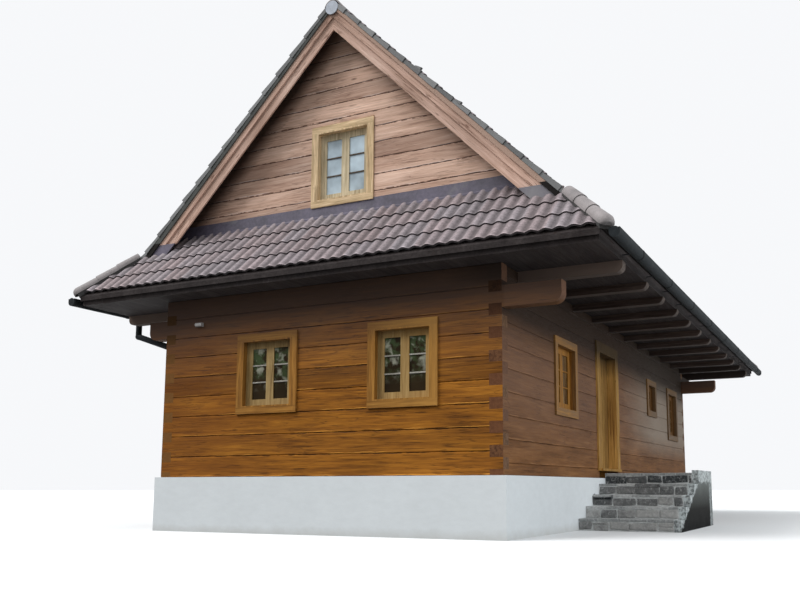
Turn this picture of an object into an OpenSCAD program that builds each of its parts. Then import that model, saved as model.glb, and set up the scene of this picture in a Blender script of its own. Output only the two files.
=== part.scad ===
// Log house with a white plinth, a steep tiled roof and a stone stair at its long side.
// Millimetres, Z up. The gable front faces -Y and the entrance side faces +X.
// The origin is on the ground at the centre of the plan.

/* [House] */
// width of the log walls over their outer faces
house_width = 5500; // [4500:10:7000]
// length of the log walls over their outer faces
house_length = 11500; // [9000:10:14000]
// height of the plinth above the ground
plinth_height = 780; // [500:10:1200]
// how far the plinth stands out beyond the logs
plinth_step = 60; // [20:5:120]
// thickness of the plinth walls
plinth_wall = 360; // [250:10:500]
// thickness of the cross wall of the plinth under the middle of the house
middle_wall = 300; // [200:10:500]
// thickness of the ground floor
floor_thickness = 120; // [80:5:200]

/* [Logs] */
// height of one course of logs
log_height = 295; // [200:5:400]
// thickness of the hewn logs
log_thickness = 180; // [140:5:240]
// depth of the groove between two logs
log_groove = 12; // [6:1:20]
// courses of logs in the front wall
log_courses = 9; // [8:1:10]
// how far the passing logs stick out at the entrance side
stub_length = 780; // [400:10:1000]
// how far the passing logs stick out at the other side
left_stub_length = 350; // [200:10:1000]

/* [Windows] */
// width of the hole of a large window
window_width = 850; // [600:10:1200]
// height of the hole of a large window
window_height = 960; // [700:10:1300]
// height of the lower edge of the large windows above the ground
window_bottom = 1760; // [1400:10:2000]
// centre of the front left window from the middle of the house
front_left_window = -844; // [-1800:2:-600]
// centre of the front right window from the middle of the house
front_right_window = 1342; // [700:2:1900]
// width of the hole of the gable window
gable_window_width = 888; // [600:2:1200]
// height of the hole of the gable window
gable_window_height = 1066; // [700:2:1300]
// height of the lower edge of the gable window above the ground
gable_window_bottom = 4855; // [4600:5:5200]
// width of the hole of the small window at the entrance side
small_window_width = 620; // [400:10:800]
// height of the hole of the small window at the entrance side
small_window_height = 560; // [400:10:800]
// height of the lower edge of the small window above the ground
small_window_bottom = 2160; // [1900:10:2400]
// distance of the rear windows from the middle of the house
rear_window_offset = 1093; // [700:1:1800]
// width of the boards round a window
casing_width = 95; // [60:5:150]
// how far the boards round a window stand out from the logs
casing_thickness = 30; // [15:1:50]
// visible width of the fixed frame of a window
frame_lip = 20; // [10:1:50]
// width of the timbers of a window sash
sash_width = 95; // [60:1:120]
// width of the two timbers that meet in the middle of a window
meeting_width = 130; // [80:1:180]
// how far the sashes lie behind the outer face of the wall
sash_depth = 65; // [20:5:100]
// thickness of the sashes
sash_thickness = 45; // [30:5:70]
// thickness of the window glass
glass_thickness = 8; // [4:1:12]

/* [Door] */
// distance from the front wall to the doorway
door_start = 4165; // [3500:5:5000]
// width of the doorway in the logs
doorway_width = 1140; // [900:10:1400]
// height of the doorway above the floor
doorway_height = 2065; // [1900:5:2300]
// width of the jambs of the door frame
jamb_width = 60; // [40:1:90]
// thickness of the door leaf
leaf_thickness = 45; // [35:1:60]
// gap round the door leaf
leaf_gap = 8; // [5:1:12]
// height of the threshold above the floor
threshold_height = 40; // [20:5:80]
// width of the stop that the door leaf closes against
stop_width = 22; // [12:1:40]
// radius of the knuckles of the hinges
knuckle_radius = 9; // [7:0.5:12]
// radius of the hinge pins
hinge_pin_radius = 4.5; // [3:0.5:6]
// height of a hinge
hinge_height = 100; // [80:5:150]

/* [Roof] */
// height of the roof planes where they would meet at the ridge
ridge_height = 7830; // [7000:10:8500]
// vertical thickness of the roof covering and its boards
roof_thickness = 90; // [40:5:120]
// half width of the roof boards at the long eaves
eave_half_width = 4140; // [3600:10:4600]
// how far the front eave lies in front of the front wall
front_eave = 440; // [200:10:900]
// how far the rear eave lies behind the rear wall
rear_eave = 1900; // [400:10:2400]
// how far the front gable wall stands behind the front wall
front_gable_step = 570; // [300:10:900]
// how far the rear gable wall stands in front of the rear wall face
rear_gable_step = 70; // [0:5:200]
// thickness of the gable walls
gable_thickness = 140; // [100:5:200]
// how far the verges pass the gable walls
verge_overhang = 361; // [200:1:600]
// height of the lip of tiles that hangs down at the verges
verge_lip_height = 165; // [90:5:250]
// thickness of the lip of tiles at the verges
verge_lip_width = 20; // [10:1:40]
// radius of the ridge tiles
ridge_radius = 135; // [80:1:160]
// depth of the axis of the ridge tiles under the point where the roof planes meet
ridge_drop = 163; // [60:1:200]
// radius of the discs that close the ridge
disc_radius = 105; // [60:1:140]
// radius of the hip tiles
hip_radius = 125; // [70:1:150]
// depth of the axis of the hip tiles under the line where two roof planes meet
hip_drop = 73; // [30:1:120]
// thickness of a barge board
barge_thickness = 25; // [15:1:50]
// height of the outer barge board under the roof boards
outer_barge_height = 205; // [100:5:350]
// height of the inner barge board under the roof boards
inner_barge_height = 395; // [250:5:500]
// height of the feet of the barge boards above the skirt roof
barge_foot = 210; // [50:5:400]
// height of the flashing above the skirt roof at a gable wall
flashing_height = 185; // [100:5:400]
// thickness of the flashing
flashing_sheet = 12; // [2:1:20]
// how far the flashing lies on the tiles, seen from above
flashing_run = 40; // [20:5:200]
// thickness of the fold of the flashing that lies on the tiles
flashing_fold = 35; // [20:5:60]

/* [Eaves] */
// height of the joists between the first and the last ceiling beam
joist_height = 100; // [80:5:147]
// width of the ceiling beams and joists
beam_width = 150; // [100:5:200]
// half length of the ceiling beams and joists
beam_half_length = 4140; // [3600:5:4400]
// radius of the lower ends of the ceiling beams and joists
beam_end_radius = 90; // [20:5:99]
// thickness of the attic floor boards
board_thickness = 30; // [20:1:50]
// half width of the attic floor over the eaves
board_half_width = 4120; // [3600:5:4400]
// width of a rafter
rafter_width = 80; // [60:5:120]
// vertical height of a rafter
rafter_height = 185; // [120:5:250]
// radius of the gutters
gutter_radius = 65; // [50:1:90]
// height of the upper rim of the gutters
gutter_rim = 3555; // [3400:5:3700]
// height of the upright sides of the gutters over their round part
gutter_lip = 50; // [20:5:80]
// thickness of the gutter sheet
gutter_sheet = 4; // [2:0.5:6]
// distance from the middle of the house to the outer edge of the gutters
gutter_edge = 4380; // [4300:5:4500]
// radius of the downpipe
pipe_radius = 50; // [30:1:60]
// distance from the front wall to the downpipe
pipe_place = 960; // [500:10:2000]
// height of the upper bend of the downpipe
upper_bend = 3170; // [2900:10:3400]
// height of the lower bend of the downpipe
lower_bend = 2690; // [2400:10:2900]

/* [Stair] */
// distance from the front wall to the first step
stair_start = 2782; // [2000:2:3500]
// depth of a tread
tread_depth = 374; // [280:2:420]
// height of a riser
riser_height = 171; // [140:1:190]
// width of the stair
stair_width = 1498; // [1000:2:1800]
// length of the landing in front of the door
landing_length = 1220; // [1000:10:1800]
// width of the stepped edging at the outer side of the stair
side_wall_thickness = 100; // [60:5:250]
// height of the kerb at the outer side of the landing
kerb_height = 45; // [20:5:300]

/* [Hidden] */
half_width = house_width / 2;
front_y = -house_length / 2;
rear_y = house_length / 2;
floor_top = plinth_height + floor_thickness;
front_top = plinth_height + log_courses * log_height;
side_top = plinth_height + (log_courses - 0.5) * log_height;
passing_top = plinth_height + (log_courses - 1) * log_height;
beam_top = front_top;
attic_floor_top = beam_top + board_thickness;
eave_front_y = front_y - front_eave;
eave_rear_y = rear_y + rear_eave;
full_half_width = 4240;
eave_level = ridge_height - full_half_width;
gable_front_y = front_y + front_gable_step;
gable_rear_y = rear_y - rear_gable_step;
verge_front_y = gable_front_y - verge_overhang;
verge_rear_y = gable_rear_y + verge_overhang;
front_run = verge_front_y - eave_front_y;
rear_run = eave_rear_y - verge_rear_y;
ridge_slot = 60;
roof_underside = ridge_height - roof_thickness;
front_beam_y = gable_front_y + gable_thickness / 2;
rear_joist_y = rear_y - log_thickness - beam_width / 2;
outer_beam_y = rear_y + 795;
first_bay = 1290;
bay = (rear_joist_y - front_beam_y - first_bay) / 9;
joist_places = [for (i = [0:9]) front_beam_y + first_bay + i * bay];
beam_places = concat([front_beam_y], joist_places, [outer_beam_y]);
eave_wall = 25;
door_y = front_y + door_start;
door_top = floor_top + doorway_height;
leaf_x = half_width - log_thickness;
leaf_y = door_y + jamb_width + leaf_gap;
leaf_z = floor_top + threshold_height + leaf_gap;
leaf_width = doorway_width - 2 * jamb_width - 2 * leaf_gap;
leaf_height = doorway_height - threshold_height - jamb_width - 2 * leaf_gap;
hinge_x = leaf_x - 10;
hinge_y = leaf_y + leaf_width + leaf_gap / 2;
hinge_places = [leaf_z + 200, leaf_z + leaf_height - 300];
hinge_plate = 60;
stop_gap = 6;
plate_thickness = 4;
steps = 4;
landing_top = (steps + 1) * riser_height;
stair_x = half_width + plinth_step;
stair_y = front_y + stair_start;
landing_y = stair_y + steps * tread_depth;
pipe_brackets = [1075, 1960, 2550];
lamp_place = -2095;
lamp_height = 3030;
lamp_width = 120;
lamp_base = 32;
lamp_radius = 28;
stub_round = 120;
stub_foot_gap = 20;
strap_width = 30;
strap_thickness = 8;
right_windows = [front_y + 2476, front_y + 8085, front_y + 10108];
left_windows = [front_y + 2476, front_y + 6300, front_y + 10108];

// outline of a stack of logs, from its foot to its top, with a groove at each joint
module log_outline(levels) {
    t = log_thickness;
    g = log_groove;
    n = len(levels) - 1;
    outer = [for (i = [0:n - 1]) each [[0, levels[i] + g], [0, levels[i + 1] - g], [g, levels[i + 1]]]];
    inner = [for (i = [n:-1:1]) each [[t, levels[i] - g], [t, levels[i - 1] + g], [t - g, levels[i - 1]]]];
    polygon(concat([[g, levels[0]]], outer, [[t - g, levels[n]]], inner));
}

// stack of logs that runs along X
module logs_along_x(levels, x1, x2, y) {
    translate([x1, y, 0]) rotate([90, 0, 90]) linear_extrude(x2 - x1) log_outline(levels);
}

// stack of logs that runs along Y
module logs_along_y(levels, y1, y2, x) {
    translate([x, y2, 0]) rotate([90, 0, 0]) linear_extrude(y2 - y1) log_outline(levels);
}

function front_levels() = [for (i = [0:log_courses]) plinth_height + i * log_height];

// joints of the side walls, half a log higher than those of the front wall
function side_levels() = concat([plinth_height],
    [for (i = [0:log_courses - 1]) plinth_height + (i + 0.5) * log_height], [front_top]);

// share of the corner that belongs to the side walls
module side_laps(cx, cy) {
    q = log_height / 4;
    t = log_thickness;
    translate([cx, cy, plinth_height]) cube([t, t, q]);
    for (i = [0:log_courses - 2])
        translate([cx, cy, plinth_height + i * log_height + 3 * q]) cube([t, t, 2 * q]);
}

// share of the corner that belongs to the front and rear walls
module front_laps(cx, cy) {
    q = log_height / 4;
    t = log_thickness;
    for (i = [0:log_courses - 2])
        translate([cx, cy, plinth_height + i * log_height + q]) cube([t, t, 2 * q]);
    translate([cx, cy, plinth_height + (log_courses - 1) * log_height + q]) cube([t, t, log_height]);
}

// hole for a window in a wall along X
module hole_x(x, y, w, h, z) {
    translate([x - w / 2, y - 50, z]) cube([w, log_thickness + 100, h]);
}

// hole for a window in a wall along Y
module hole_y(x, y, w, h, z) {
    translate([x - 50, y - w / 2, z]) cube([log_thickness + 100, w, h]);
}

// end of a passing log of a given length, rounded at its lower edge
module stub(x1, y, length) {
    r = stub_round;
    h = log_height - stub_foot_gap;
    translate([x1, y + log_thickness, passing_top - h]) rotate([90, 0, 0]) linear_extrude(log_thickness) {
        square([length - r, h]);
        translate([length - r, r]) square([r, h - r]);
        intersection() {
            translate([length - r, r]) circle(r);
            translate([length - r, 0]) square(r);
        }
    }
}

module cross_wall(y) {
    difference() {
        logs_along_x(front_levels(), -half_width, half_width, y);
        side_laps(-half_width, y);
        side_laps(half_width - log_thickness, y);
    }
    stub(half_width, y, stub_length);
    mirror([1, 0, 0]) stub(half_width, y, left_stub_length);
}

module front_wall() {
    color("peru") difference() {
        cross_wall(front_y);
        for (x = [front_left_window, front_right_window])
            hole_x(x, front_y, window_width, window_height, window_bottom);
    }
}

module rear_wall() {
    y = rear_y - log_thickness;
    color("peru") difference() {
        cross_wall(y);
        for (s = [-1, 1])
            hole_x(s * rear_window_offset, y, window_width, window_height, window_bottom);
    }
}

// slot for a ceiling beam in the top log of a long wall
module beam_slot(x, y, z) {
    translate([x - 1, y - beam_width / 2, z]) cube([log_thickness + 2, beam_width, log_height]);
}

// whole long wall, before its doorway is cut, with the log that carries the outer rear beam
module long_wall(x) {
    t = log_thickness;
    difference() {
        logs_along_y(side_levels(), front_y, rear_y, x);
        front_laps(x, front_y);
        front_laps(x, rear_y - t);
        beam_slot(x, front_beam_y, side_top);
        for (y = joist_places)
            beam_slot(x, y, beam_top - joist_height);
    }
    translate([x, rear_y, passing_top]) cube([t, outer_beam_y + beam_width - rear_y, side_top - passing_top]);
}

module left_wall() {
    x = -half_width;
    color("peru") difference() {
        long_wall(x);
        for (y = left_windows)
            hole_y(x, y, window_width, window_height, window_bottom);
    }
}

module right_wall() {
    x = half_width - log_thickness;
    difference() {
        long_wall(x);
        hole_y(x, right_windows[0], window_width, window_height, window_bottom);
        hole_y(x, right_windows[1], small_window_width, small_window_height, small_window_bottom);
        hole_y(x, right_windows[2], window_width, window_height, window_bottom);
    }
}

// box over the whole height of the right wall, between two places along Y
module right_wall_range(y1, y2, z1) {
    translate([0, y1, z1]) cube([house_width, y2 - y1, ridge_height]);
}

module right_wall_front() {
    color("peru") intersection() {
        right_wall();
        right_wall_range(front_y, door_y, 0);
    }
}

module right_wall_rear() {
    color("peru") intersection() {
        right_wall();
        right_wall_range(door_y + doorway_width, eave_rear_y, 0);
    }
}

module right_wall_over_door() {
    color("peru") intersection() {
        right_wall();
        right_wall_range(door_y, door_y + doorway_width, door_top);
    }
}

// masonry ring under the walls, with a cross wall under the middle of the house
module plinth() {
    w = house_width + 2 * plinth_step;
    l = house_length + 2 * plinth_step;
    cell = (l - 2 * plinth_wall - middle_wall) / 2;
    color("white") difference() {
        translate([-w / 2, -l / 2, 0]) cube([w, l, plinth_height]);
        for (y = [-middle_wall / 2 - cell, middle_wall / 2])
            translate([plinth_wall - w / 2, y, -1]) cube([w - 2 * plinth_wall, cell, plinth_height + 2]);
    }
}

module ground_floor() {
    t = log_thickness;
    color("burlywood") translate([t - half_width, front_y + t, plinth_height])
        cube([house_width - 2 * t, house_length - 2 * t, floor_thickness]);
}

// wall of the gable under the roof, between its floor and the roof boards
module gable_wall(y) {
    z = roof_underside;
    b = board_half_width - eave_wall;
    translate([0, y + gable_thickness, 0]) rotate([90, 0, 0]) linear_extrude(gable_thickness)
        polygon([[-b, attic_floor_top], [b, attic_floor_top], [b, z - b], [0, z], [-b, z - b]]);
}

module front_gable_wall() {
    color("tan") difference() {
        gable_wall(gable_front_y);
        hole_x(0, gable_front_y, gable_window_width, gable_window_height, gable_window_bottom);
    }
}

module rear_gable_wall() {
    color("tan") gable_wall(gable_rear_y - gable_thickness);
}

// beam or joist of a given height under the attic floor, with both lower ends rounded
module ceiling_beam(y, h) {
    l = beam_half_length;
    r = beam_end_radius;
    translate([0, y + beam_width / 2, beam_top - h]) rotate([90, 0, 0]) linear_extrude(beam_width) {
        translate([r - l, 0]) square([2 * (l - r), h]);
        translate([-l, r]) square([2 * l, h - r]);
        for (s = [-1, 1])
            intersection() {
                translate([s * (l - r), r]) circle(r);
                translate([-l, 0]) square([2 * l, r]);
            }
    }
}

module ceiling_beams() {
    color("saddlebrown") {
        ceiling_beam(front_beam_y, beam_top - side_top);
        ceiling_beam(outer_beam_y, beam_top - side_top);
        for (y = joist_places)
            ceiling_beam(y, joist_height);
    }
}

module attic_floor() {
    color("burlywood") translate([-board_half_width, eave_front_y + 40, beam_top])
        cube([2 * board_half_width, eave_rear_y - eave_front_y - 80, board_thickness]);
}

// one pair of rafters over each joist inside the house
module rafters() {
    z = roof_underside;
    w = board_half_width - eave_wall;
    foot = z - rafter_height - attic_floor_top;
    color("saddlebrown") for (i = [0:8])
        translate([0, joist_places[i] + rafter_width / 2, 0]) rotate([90, 0, 0]) linear_extrude(rafter_width)
            polygon([[-w, attic_floor_top], [-w, z - w], [0, z], [w, z - w], [w, attic_floor_top],
                [foot, attic_floor_top], [0, z - rafter_height], [-foot, attic_floor_top]]);
}

// space under the roof planes, lowered by a drop
module under_roof(drop) {
    z = ridge_height - drop;
    e = eave_level - drop;
    w = full_half_width + 400;
    y1 = eave_front_y - 400;
    y2 = eave_rear_y + 400;
    middle = (y1 + y2) / 2;
    intersection() {
        translate([0, y2, 0]) rotate([90, 0, 0]) linear_extrude(y2 - y1)
            polygon([[-w, 0], [w, 0], [w, z - w], [0, z], [-w, z - w]]);
        translate([-w, 0, 0]) rotate([90, 0, 90]) linear_extrude(2 * w)
            polygon([[y1, 0], [y2, 0], [y2, e - 400], [middle, e - 400 + (y2 - y1) / 2], [y1, e - 400]]);
    }
}

// lip of tiles of one half of a verge, from the ridge down to a level
module verge_lip(foot) {
    z = ridge_height;
    w = z - foot;
    h = verge_lip_height;
    slot = ridge_slot;
    translate([0, verge_lip_width, 0]) rotate([90, 0, 0]) linear_extrude(verge_lip_width)
        polygon([[slot, z - slot], [w, foot], [w - h, foot], [0, z - h], [0, z - slot]]);
}

// long roof plane with its hips cut off, and with the lips at its verges
module roof_right() {
    w = eave_half_width;
    k = full_half_width - w;
    z = ridge_height;
    s = ridge_slot;
    color("dimgray") {
        intersection() {
            translate([0, eave_rear_y, 0]) rotate([90, 0, 0]) linear_extrude(eave_rear_y - eave_front_y)
                polygon([[s, z - s], [w, z - w], [w, roof_underside - w], [0, roof_underside], [0, z - s]]);
            linear_extrude(ridge_height)
                polygon([[0, verge_front_y], [full_half_width - front_run, verge_front_y],
                    [w, eave_front_y + k], [w, eave_rear_y - k],
                    [full_half_width - rear_run, verge_rear_y], [0, verge_rear_y]]);
        }
        translate([0, verge_front_y, 0]) verge_lip(eave_level + front_run + verge_lip_width);
        translate([0, verge_rear_y - verge_lip_width, 0]) verge_lip(eave_level + rear_run + verge_lip_width);
    }
}

module roof_left() {
    mirror([1, 0, 0]) roof_right();
}

// half of the plan of a skirt roof whose eave runs along X; the verge is at d and the gable wall at g
function skirt_plan(d, g) = [[0, 0], [eave_half_width, 0],
    [eave_half_width, full_half_width - eave_half_width], [full_half_width - d, d],
    [full_half_width - d - roof_thickness, d], [full_half_width - g - roof_thickness, g], [0, g]];

module skirt_roof(d, g) {
    e = eave_level;
    t = roof_thickness;
    for (m = [0, 1])
        mirror([m, 0, 0]) intersection() {
            rotate([90, 0, 90]) linear_extrude(full_half_width)
                polygon([[0, e], [g, e + g], [g, e + g - t], [0, e - t]]);
            linear_extrude(ridge_height) polygon(skirt_plan(d, g));
        }
}

module front_skirt_roof() {
    color("dimgray") translate([0, eave_front_y, 0]) skirt_roof(front_run, gable_front_y - eave_front_y);
}

module rear_skirt_roof() {
    color("dimgray") translate([0, eave_rear_y, 0]) mirror([0, 1, 0])
        skirt_roof(rear_run, eave_rear_y - gable_rear_y);
}

// half-round tiles over the slot between the two long roof planes
module ridge_tiles() {
    z = ridge_height;
    s = ridge_slot;
    w = ridge_radius + 5;
    color("gray") translate([0, verge_rear_y, 0]) rotate([90, 0, 0])
        linear_extrude(verge_rear_y - verge_front_y) intersection() {
            translate([0, z - ridge_drop]) circle(ridge_radius);
            polygon([[-s, z - s], [-w, z - w], [-w, z + w], [w, z + w], [w, z - w], [s, z - s]]);
        }
}

module ridge_end_discs() {
    thick = 14;
    color("silver") for (y = [verge_front_y, verge_rear_y + thick])
        translate([0, y, ridge_height - ridge_drop]) rotate([90, 0, 0]) cylinder(h = thick, r = disc_radius);
}

// hip tiles of one corner, cut off at the eaves and at the verge; their eave is at its own Y of 0
module hip_line(run) {
    spare = 2 * hip_radius;
    length = (run + 2 * spare) * sqrt(3);
    difference() {
        intersection() {
            translate([full_half_width + spare, -spare, eave_level - spare - hip_drop])
                rotate([0, 0, 135]) rotate([0, 90 - atan(1 / sqrt(2)), 0])
                    cylinder(h = length, r = hip_radius);
            cube([full_half_width, run, ridge_height]);
        }
        translate([0, -eave_front_y, 0]) under_roof(0);
    }
}

module hip_tiles() {
    color("gray") for (m = [0, 1])
        mirror([m, 0, 0]) {
            translate([0, eave_front_y, 0]) hip_line(front_run);
            translate([0, eave_rear_y, 0]) mirror([0, 1, 0]) hip_line(rear_run);
        }
}

// one barge board along the slope, as an upright slab that ends at a level
module barge_board(y, low, foot) {
    z = roof_underside;
    w = z - foot;
    translate([0, y + barge_thickness, 0]) rotate([90, 0, 0]) linear_extrude(barge_thickness)
        polygon([[0, z], [w, foot], [w - low, foot], [0, z - low]]);
}

// two layers of boards under both slopes of a verge whose outer face is at Y 0
module barge_boards(run) {
    foot = eave_level + run + barge_foot;
    y = verge_lip_width + 2;
    for (m = [0, 1])
        mirror([m, 0, 0]) {
            barge_board(y, outer_barge_height, foot);
            barge_board(y + barge_thickness, inner_barge_height, foot);
        }
}

module front_barge_boards() {
    color("sienna") translate([0, verge_front_y, 0]) barge_boards(front_run);
}

module rear_barge_boards() {
    color("sienna") translate([0, verge_rear_y, 0]) mirror([0, 1, 0]) barge_boards(rear_run);
}

// boards that stand on the attic floor all round, behind the gutters
module eave_boards() {
    w = board_half_width;
    b = eave_wall;
    y1 = eave_front_y + 40;
    y2 = eave_rear_y - 40;
    color("saddlebrown") intersection() {
        difference() {
            translate([-w, y1, attic_floor_top]) cube([2 * w, y2 - y1, 400]);
            translate([b - w, y1 + b, attic_floor_top - 1]) cube([2 * (w - b), y2 - y1 - 2 * b, 500]);
        }
        under_roof(roof_thickness);
    }
}

// gutter along Y on the side of +X, closed at its ends, with its straps
module gutter() {
    r = gutter_radius;
    x = gutter_edge - r;
    z = gutter_rim - gutter_lip;
    s = gutter_sheet;
    y1 = eave_front_y - 20;
    y2 = eave_rear_y;
    translate([x, y2, z]) rotate([90, 0, 0]) linear_extrude(y2 - y1) difference() {
        union() {
            circle(r);
            translate([-r, 0]) square([2 * r, gutter_lip]);
        }
        circle(r - s);
        translate([s - r, 0]) square([2 * (r - s), 2 * gutter_lip]);
    }
    for (y = [y1 + s, y2])
        translate([x, y, z]) rotate([90, 0, 0]) linear_extrude(s) {
            circle(r - 2);
            translate([2 - r, 0]) square([2 * (r - 2), gutter_lip - 2]);
        }
    for (y = beam_places)
        translate([board_half_width, y - strap_width / 2, z + strap_thickness])
            cube([x - r + s / 2 - board_half_width, strap_width, strap_thickness]);
}

module right_gutter() {
    color("black") gutter();
}

module left_gutter() {
    color("black") mirror([1, 0, 0]) gutter();
}

// pipe from the left gutter to the ground, with a bend at each end of its slanting run
module downpipe() {
    r = pipe_radius;
    x1 = gutter_radius - gutter_edge;
    x2 = -half_width - plinth_step - r - 15;
    z0 = gutter_rim - gutter_lip - gutter_radius - 0.5;
    fall = upper_bend - lower_bend;
    slant = sqrt(pow(x2 - x1, 2) + pow(fall, 2));
    collar = r + 4;
    color("black") translate([0, front_y + pipe_place, 0]) {
        translate([x1, 0, upper_bend]) cylinder(h = z0 - upper_bend, r = r);
        translate([x1, 0, upper_bend]) sphere(collar);
        translate([x1, 0, upper_bend]) rotate([0, 90 + atan(fall / (x2 - x1)), 0]) cylinder(h = slant, r = r);
        translate([x2, 0, lower_bend]) sphere(collar);
        translate([x2, 0, 60]) cylinder(h = lower_bend - 60, r = r);
        for (z = pipe_brackets) {
            translate([x2, 0, z]) cylinder(h = 30, r = collar);
            translate([x2, -10, z]) cube([-half_width - x2, 20, 30]);
        }
    }
}

// sheet metal that stands against the gable wall at the top of a skirt roof
module wall_flashing(g) {
    w = full_half_width;
    z = roof_underside;
    s = flashing_sheet;
    fold_y = g - flashing_run;
    fold_z = eave_level + fold_y;
    rise_z = eave_level + g - s + flashing_fold;
    top = eave_level + g + flashing_height;
    intersection() {
        translate([-w, 0, 0]) rotate([90, 0, 90]) linear_extrude(2 * w)
            polygon([[g, eave_level + g], [fold_y, fold_z], [fold_y, fold_z + flashing_fold],
                [g - s, rise_z], [g - s, top], [g, top]]);
        translate([0, g + 1, 0]) rotate([90, 0, 0]) linear_extrude(g + 2)
            polygon([[-w, z - w], [w, z - w], [0, z]]);
    }
}

// sheets under the feet of the barge boards; their inner edges carry on the lower edges of the boards
module foot_flashings(d) {
    e = eave_level;
    z = roof_underside;
    inner = z - inner_barge_height;
    foot = e + d + barge_foot;
    y1 = d + verge_lip_width + 2;
    y2 = y1 + flashing_sheet;
    for (m = [0, 1])
        mirror([m, 0, 0]) intersection() {
            rotate([90, 0, 90]) linear_extrude(full_half_width)
                polygon([[y1, e + y1], [y2, e + y2], [y2, foot], [y1, foot]]);
            translate([0, y2 + 1, 0]) rotate([90, 0, 0]) linear_extrude(y2 + 2)
                polygon([[inner - foot, foot], [z - foot, foot], [z - e, e], [inner - e, e]]);
        }
}

module roof_flashings() {
    w = gable_window_width + 2 * casing_width;
    color("gray") {
        difference() {
            translate([0, eave_front_y, 0]) wall_flashing(gable_front_y - eave_front_y);
            translate([-w / 2, gable_front_y - 50, gable_window_bottom - casing_width]) cube([w, 100, w]);
        }
        translate([0, eave_front_y, 0]) foot_flashings(front_run);
        translate([0, eave_rear_y, 0]) mirror([0, 1, 0]) {
            wall_flashing(eave_rear_y - gable_rear_y);
            foot_flashings(rear_run);
        }
    }
}

function pane_width(w, leaves) =
    (w - 2 * frame_lip - 2 * sash_width - (leaves - 1) * meeting_width) / leaves;

function pane_places(w, leaves) = leaves == 1 ? [0] :
    [for (s = [-1, 1]) s * (meeting_width + pane_width(w, leaves)) / 2];

// window frame with its boards and sashes; the hole's lower middle is at the origin, outside is -Y
module window_frame(w, h, leaves) {
    c = casing_width;
    l = frame_lip;
    edge = frame_lip + sash_width;
    depth = sash_depth + sash_thickness + 20;
    p = pane_width(w, leaves);
    difference() {
        union() {
            translate([-w / 2 - c, -casing_thickness, -c]) cube([w + 2 * c, casing_thickness, h + 2 * c]);
            translate([-w / 2, -1, 0]) cube([w, depth + 1, h]);
        }
        translate([l - w / 2, -100, l]) cube([w - 2 * l, 100 + sash_depth, h - 2 * l]);
        translate([l - w / 2, sash_depth + sash_thickness, l]) cube([w - 2 * l, depth, h - 2 * l]);
        for (x = pane_places(w, leaves))
            translate([x - p / 2, -100, edge]) cube([p, 300, h - 2 * edge]);
    }
}

// the panes of a window
module window_glass(w, h, leaves) {
    p = pane_width(w, leaves);
    edge = frame_lip + sash_width;
    for (x = pane_places(w, leaves))
        translate([x - p / 2, sash_depth + 17, edge]) cube([p, glass_thickness, h - 2 * edge]);
}

module front_window_frames() {
    color("goldenrod") for (x = [front_left_window, front_right_window])
        translate([x, front_y, window_bottom]) window_frame(window_width, window_height, 2);
}

module front_window_glass() {
    color("lightblue") for (x = [front_left_window, front_right_window])
        translate([x, front_y, window_bottom]) window_glass(window_width, window_height, 2);
}

module gable_window_frame() {
    color("goldenrod") translate([0, gable_front_y, gable_window_bottom])
        window_frame(gable_window_width, gable_window_height, 2);
}

module gable_window_glass() {
    color("lightblue") translate([0, gable_front_y, gable_window_bottom])
        window_glass(gable_window_width, gable_window_height, 2);
}

module right_window_frames() {
    color("goldenrod") {
        for (y = [right_windows[0], right_windows[2]])
            translate([half_width, y, window_bottom]) rotate([0, 0, 90])
                window_frame(window_width, window_height, 2);
        translate([half_width, right_windows[1], small_window_bottom]) rotate([0, 0, 90])
            window_frame(small_window_width, small_window_height, 1);
    }
}

module right_window_glass() {
    color("lightblue") {
        for (y = [right_windows[0], right_windows[2]])
            translate([half_width, y, window_bottom]) rotate([0, 0, 90])
                window_glass(window_width, window_height, 2);
        translate([half_width, right_windows[1], small_window_bottom]) rotate([0, 0, 90])
            window_glass(small_window_width, small_window_height, 1);
    }
}

module left_window_frames() {
    color("goldenrod") for (y = left_windows)
        translate([-half_width, y, window_bottom]) rotate([0, 0, -90])
            window_frame(window_width, window_height, 2);
}

module left_window_glass() {
    color("lightblue") for (y = left_windows)
        translate([-half_width, y, window_bottom]) rotate([0, 0, -90])
            window_glass(window_width, window_height, 2);
}

module rear_window_frames() {
    color("goldenrod") for (s = [-1, 1])
        translate([s * rear_window_offset, rear_y, window_bottom]) rotate([0, 0, 180])
            window_frame(window_width, window_height, 2);
}

module rear_window_glass() {
    color("lightblue") for (s = [-1, 1])
        translate([s * rear_window_offset, rear_y, window_bottom]) rotate([0, 0, 180])
            window_glass(window_width, window_height, 2);
}

// frame of the entrance, with its boards outside and a stop that the leaf closes against
module door_frame() {
    t = log_thickness;
    w = doorway_width;
    h = doorway_height;
    j = jamb_width;
    s = stop_width;
    sill = threshold_height;
    c = casing_width;
    clear = h - sill - j;
    color("goldenrod") translate([leaf_x, door_y, floor_top]) difference() {
        union() {
            cube([t, w, h]);
            translate([t, -c, 0]) cube([casing_thickness, w + 2 * c, h + c]);
            translate([t, -20, 0]) cube([70, w + 40, sill]);
        }
        translate([-1, j, sill]) cube([leaf_thickness + stop_gap + 1, w - 2 * j, clear]);
        translate([-1, j + s, sill]) cube([t + 200, w - 2 * (j + s), clear - s]);
    }
}

// half of a hinge that is turned to +Y or to -Y, with its knuckle above its own Z of 0
module hinge_half(side) {
    h = hinge_height / 2 - 1;
    plate_x = leaf_x - plate_thickness - hinge_x;
    cylinder(h = h, r = knuckle_radius);
    translate([plate_x, side < 0 ? -hinge_plate : 0, 0]) cube([plate_thickness, hinge_plate, h]);
}

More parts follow.
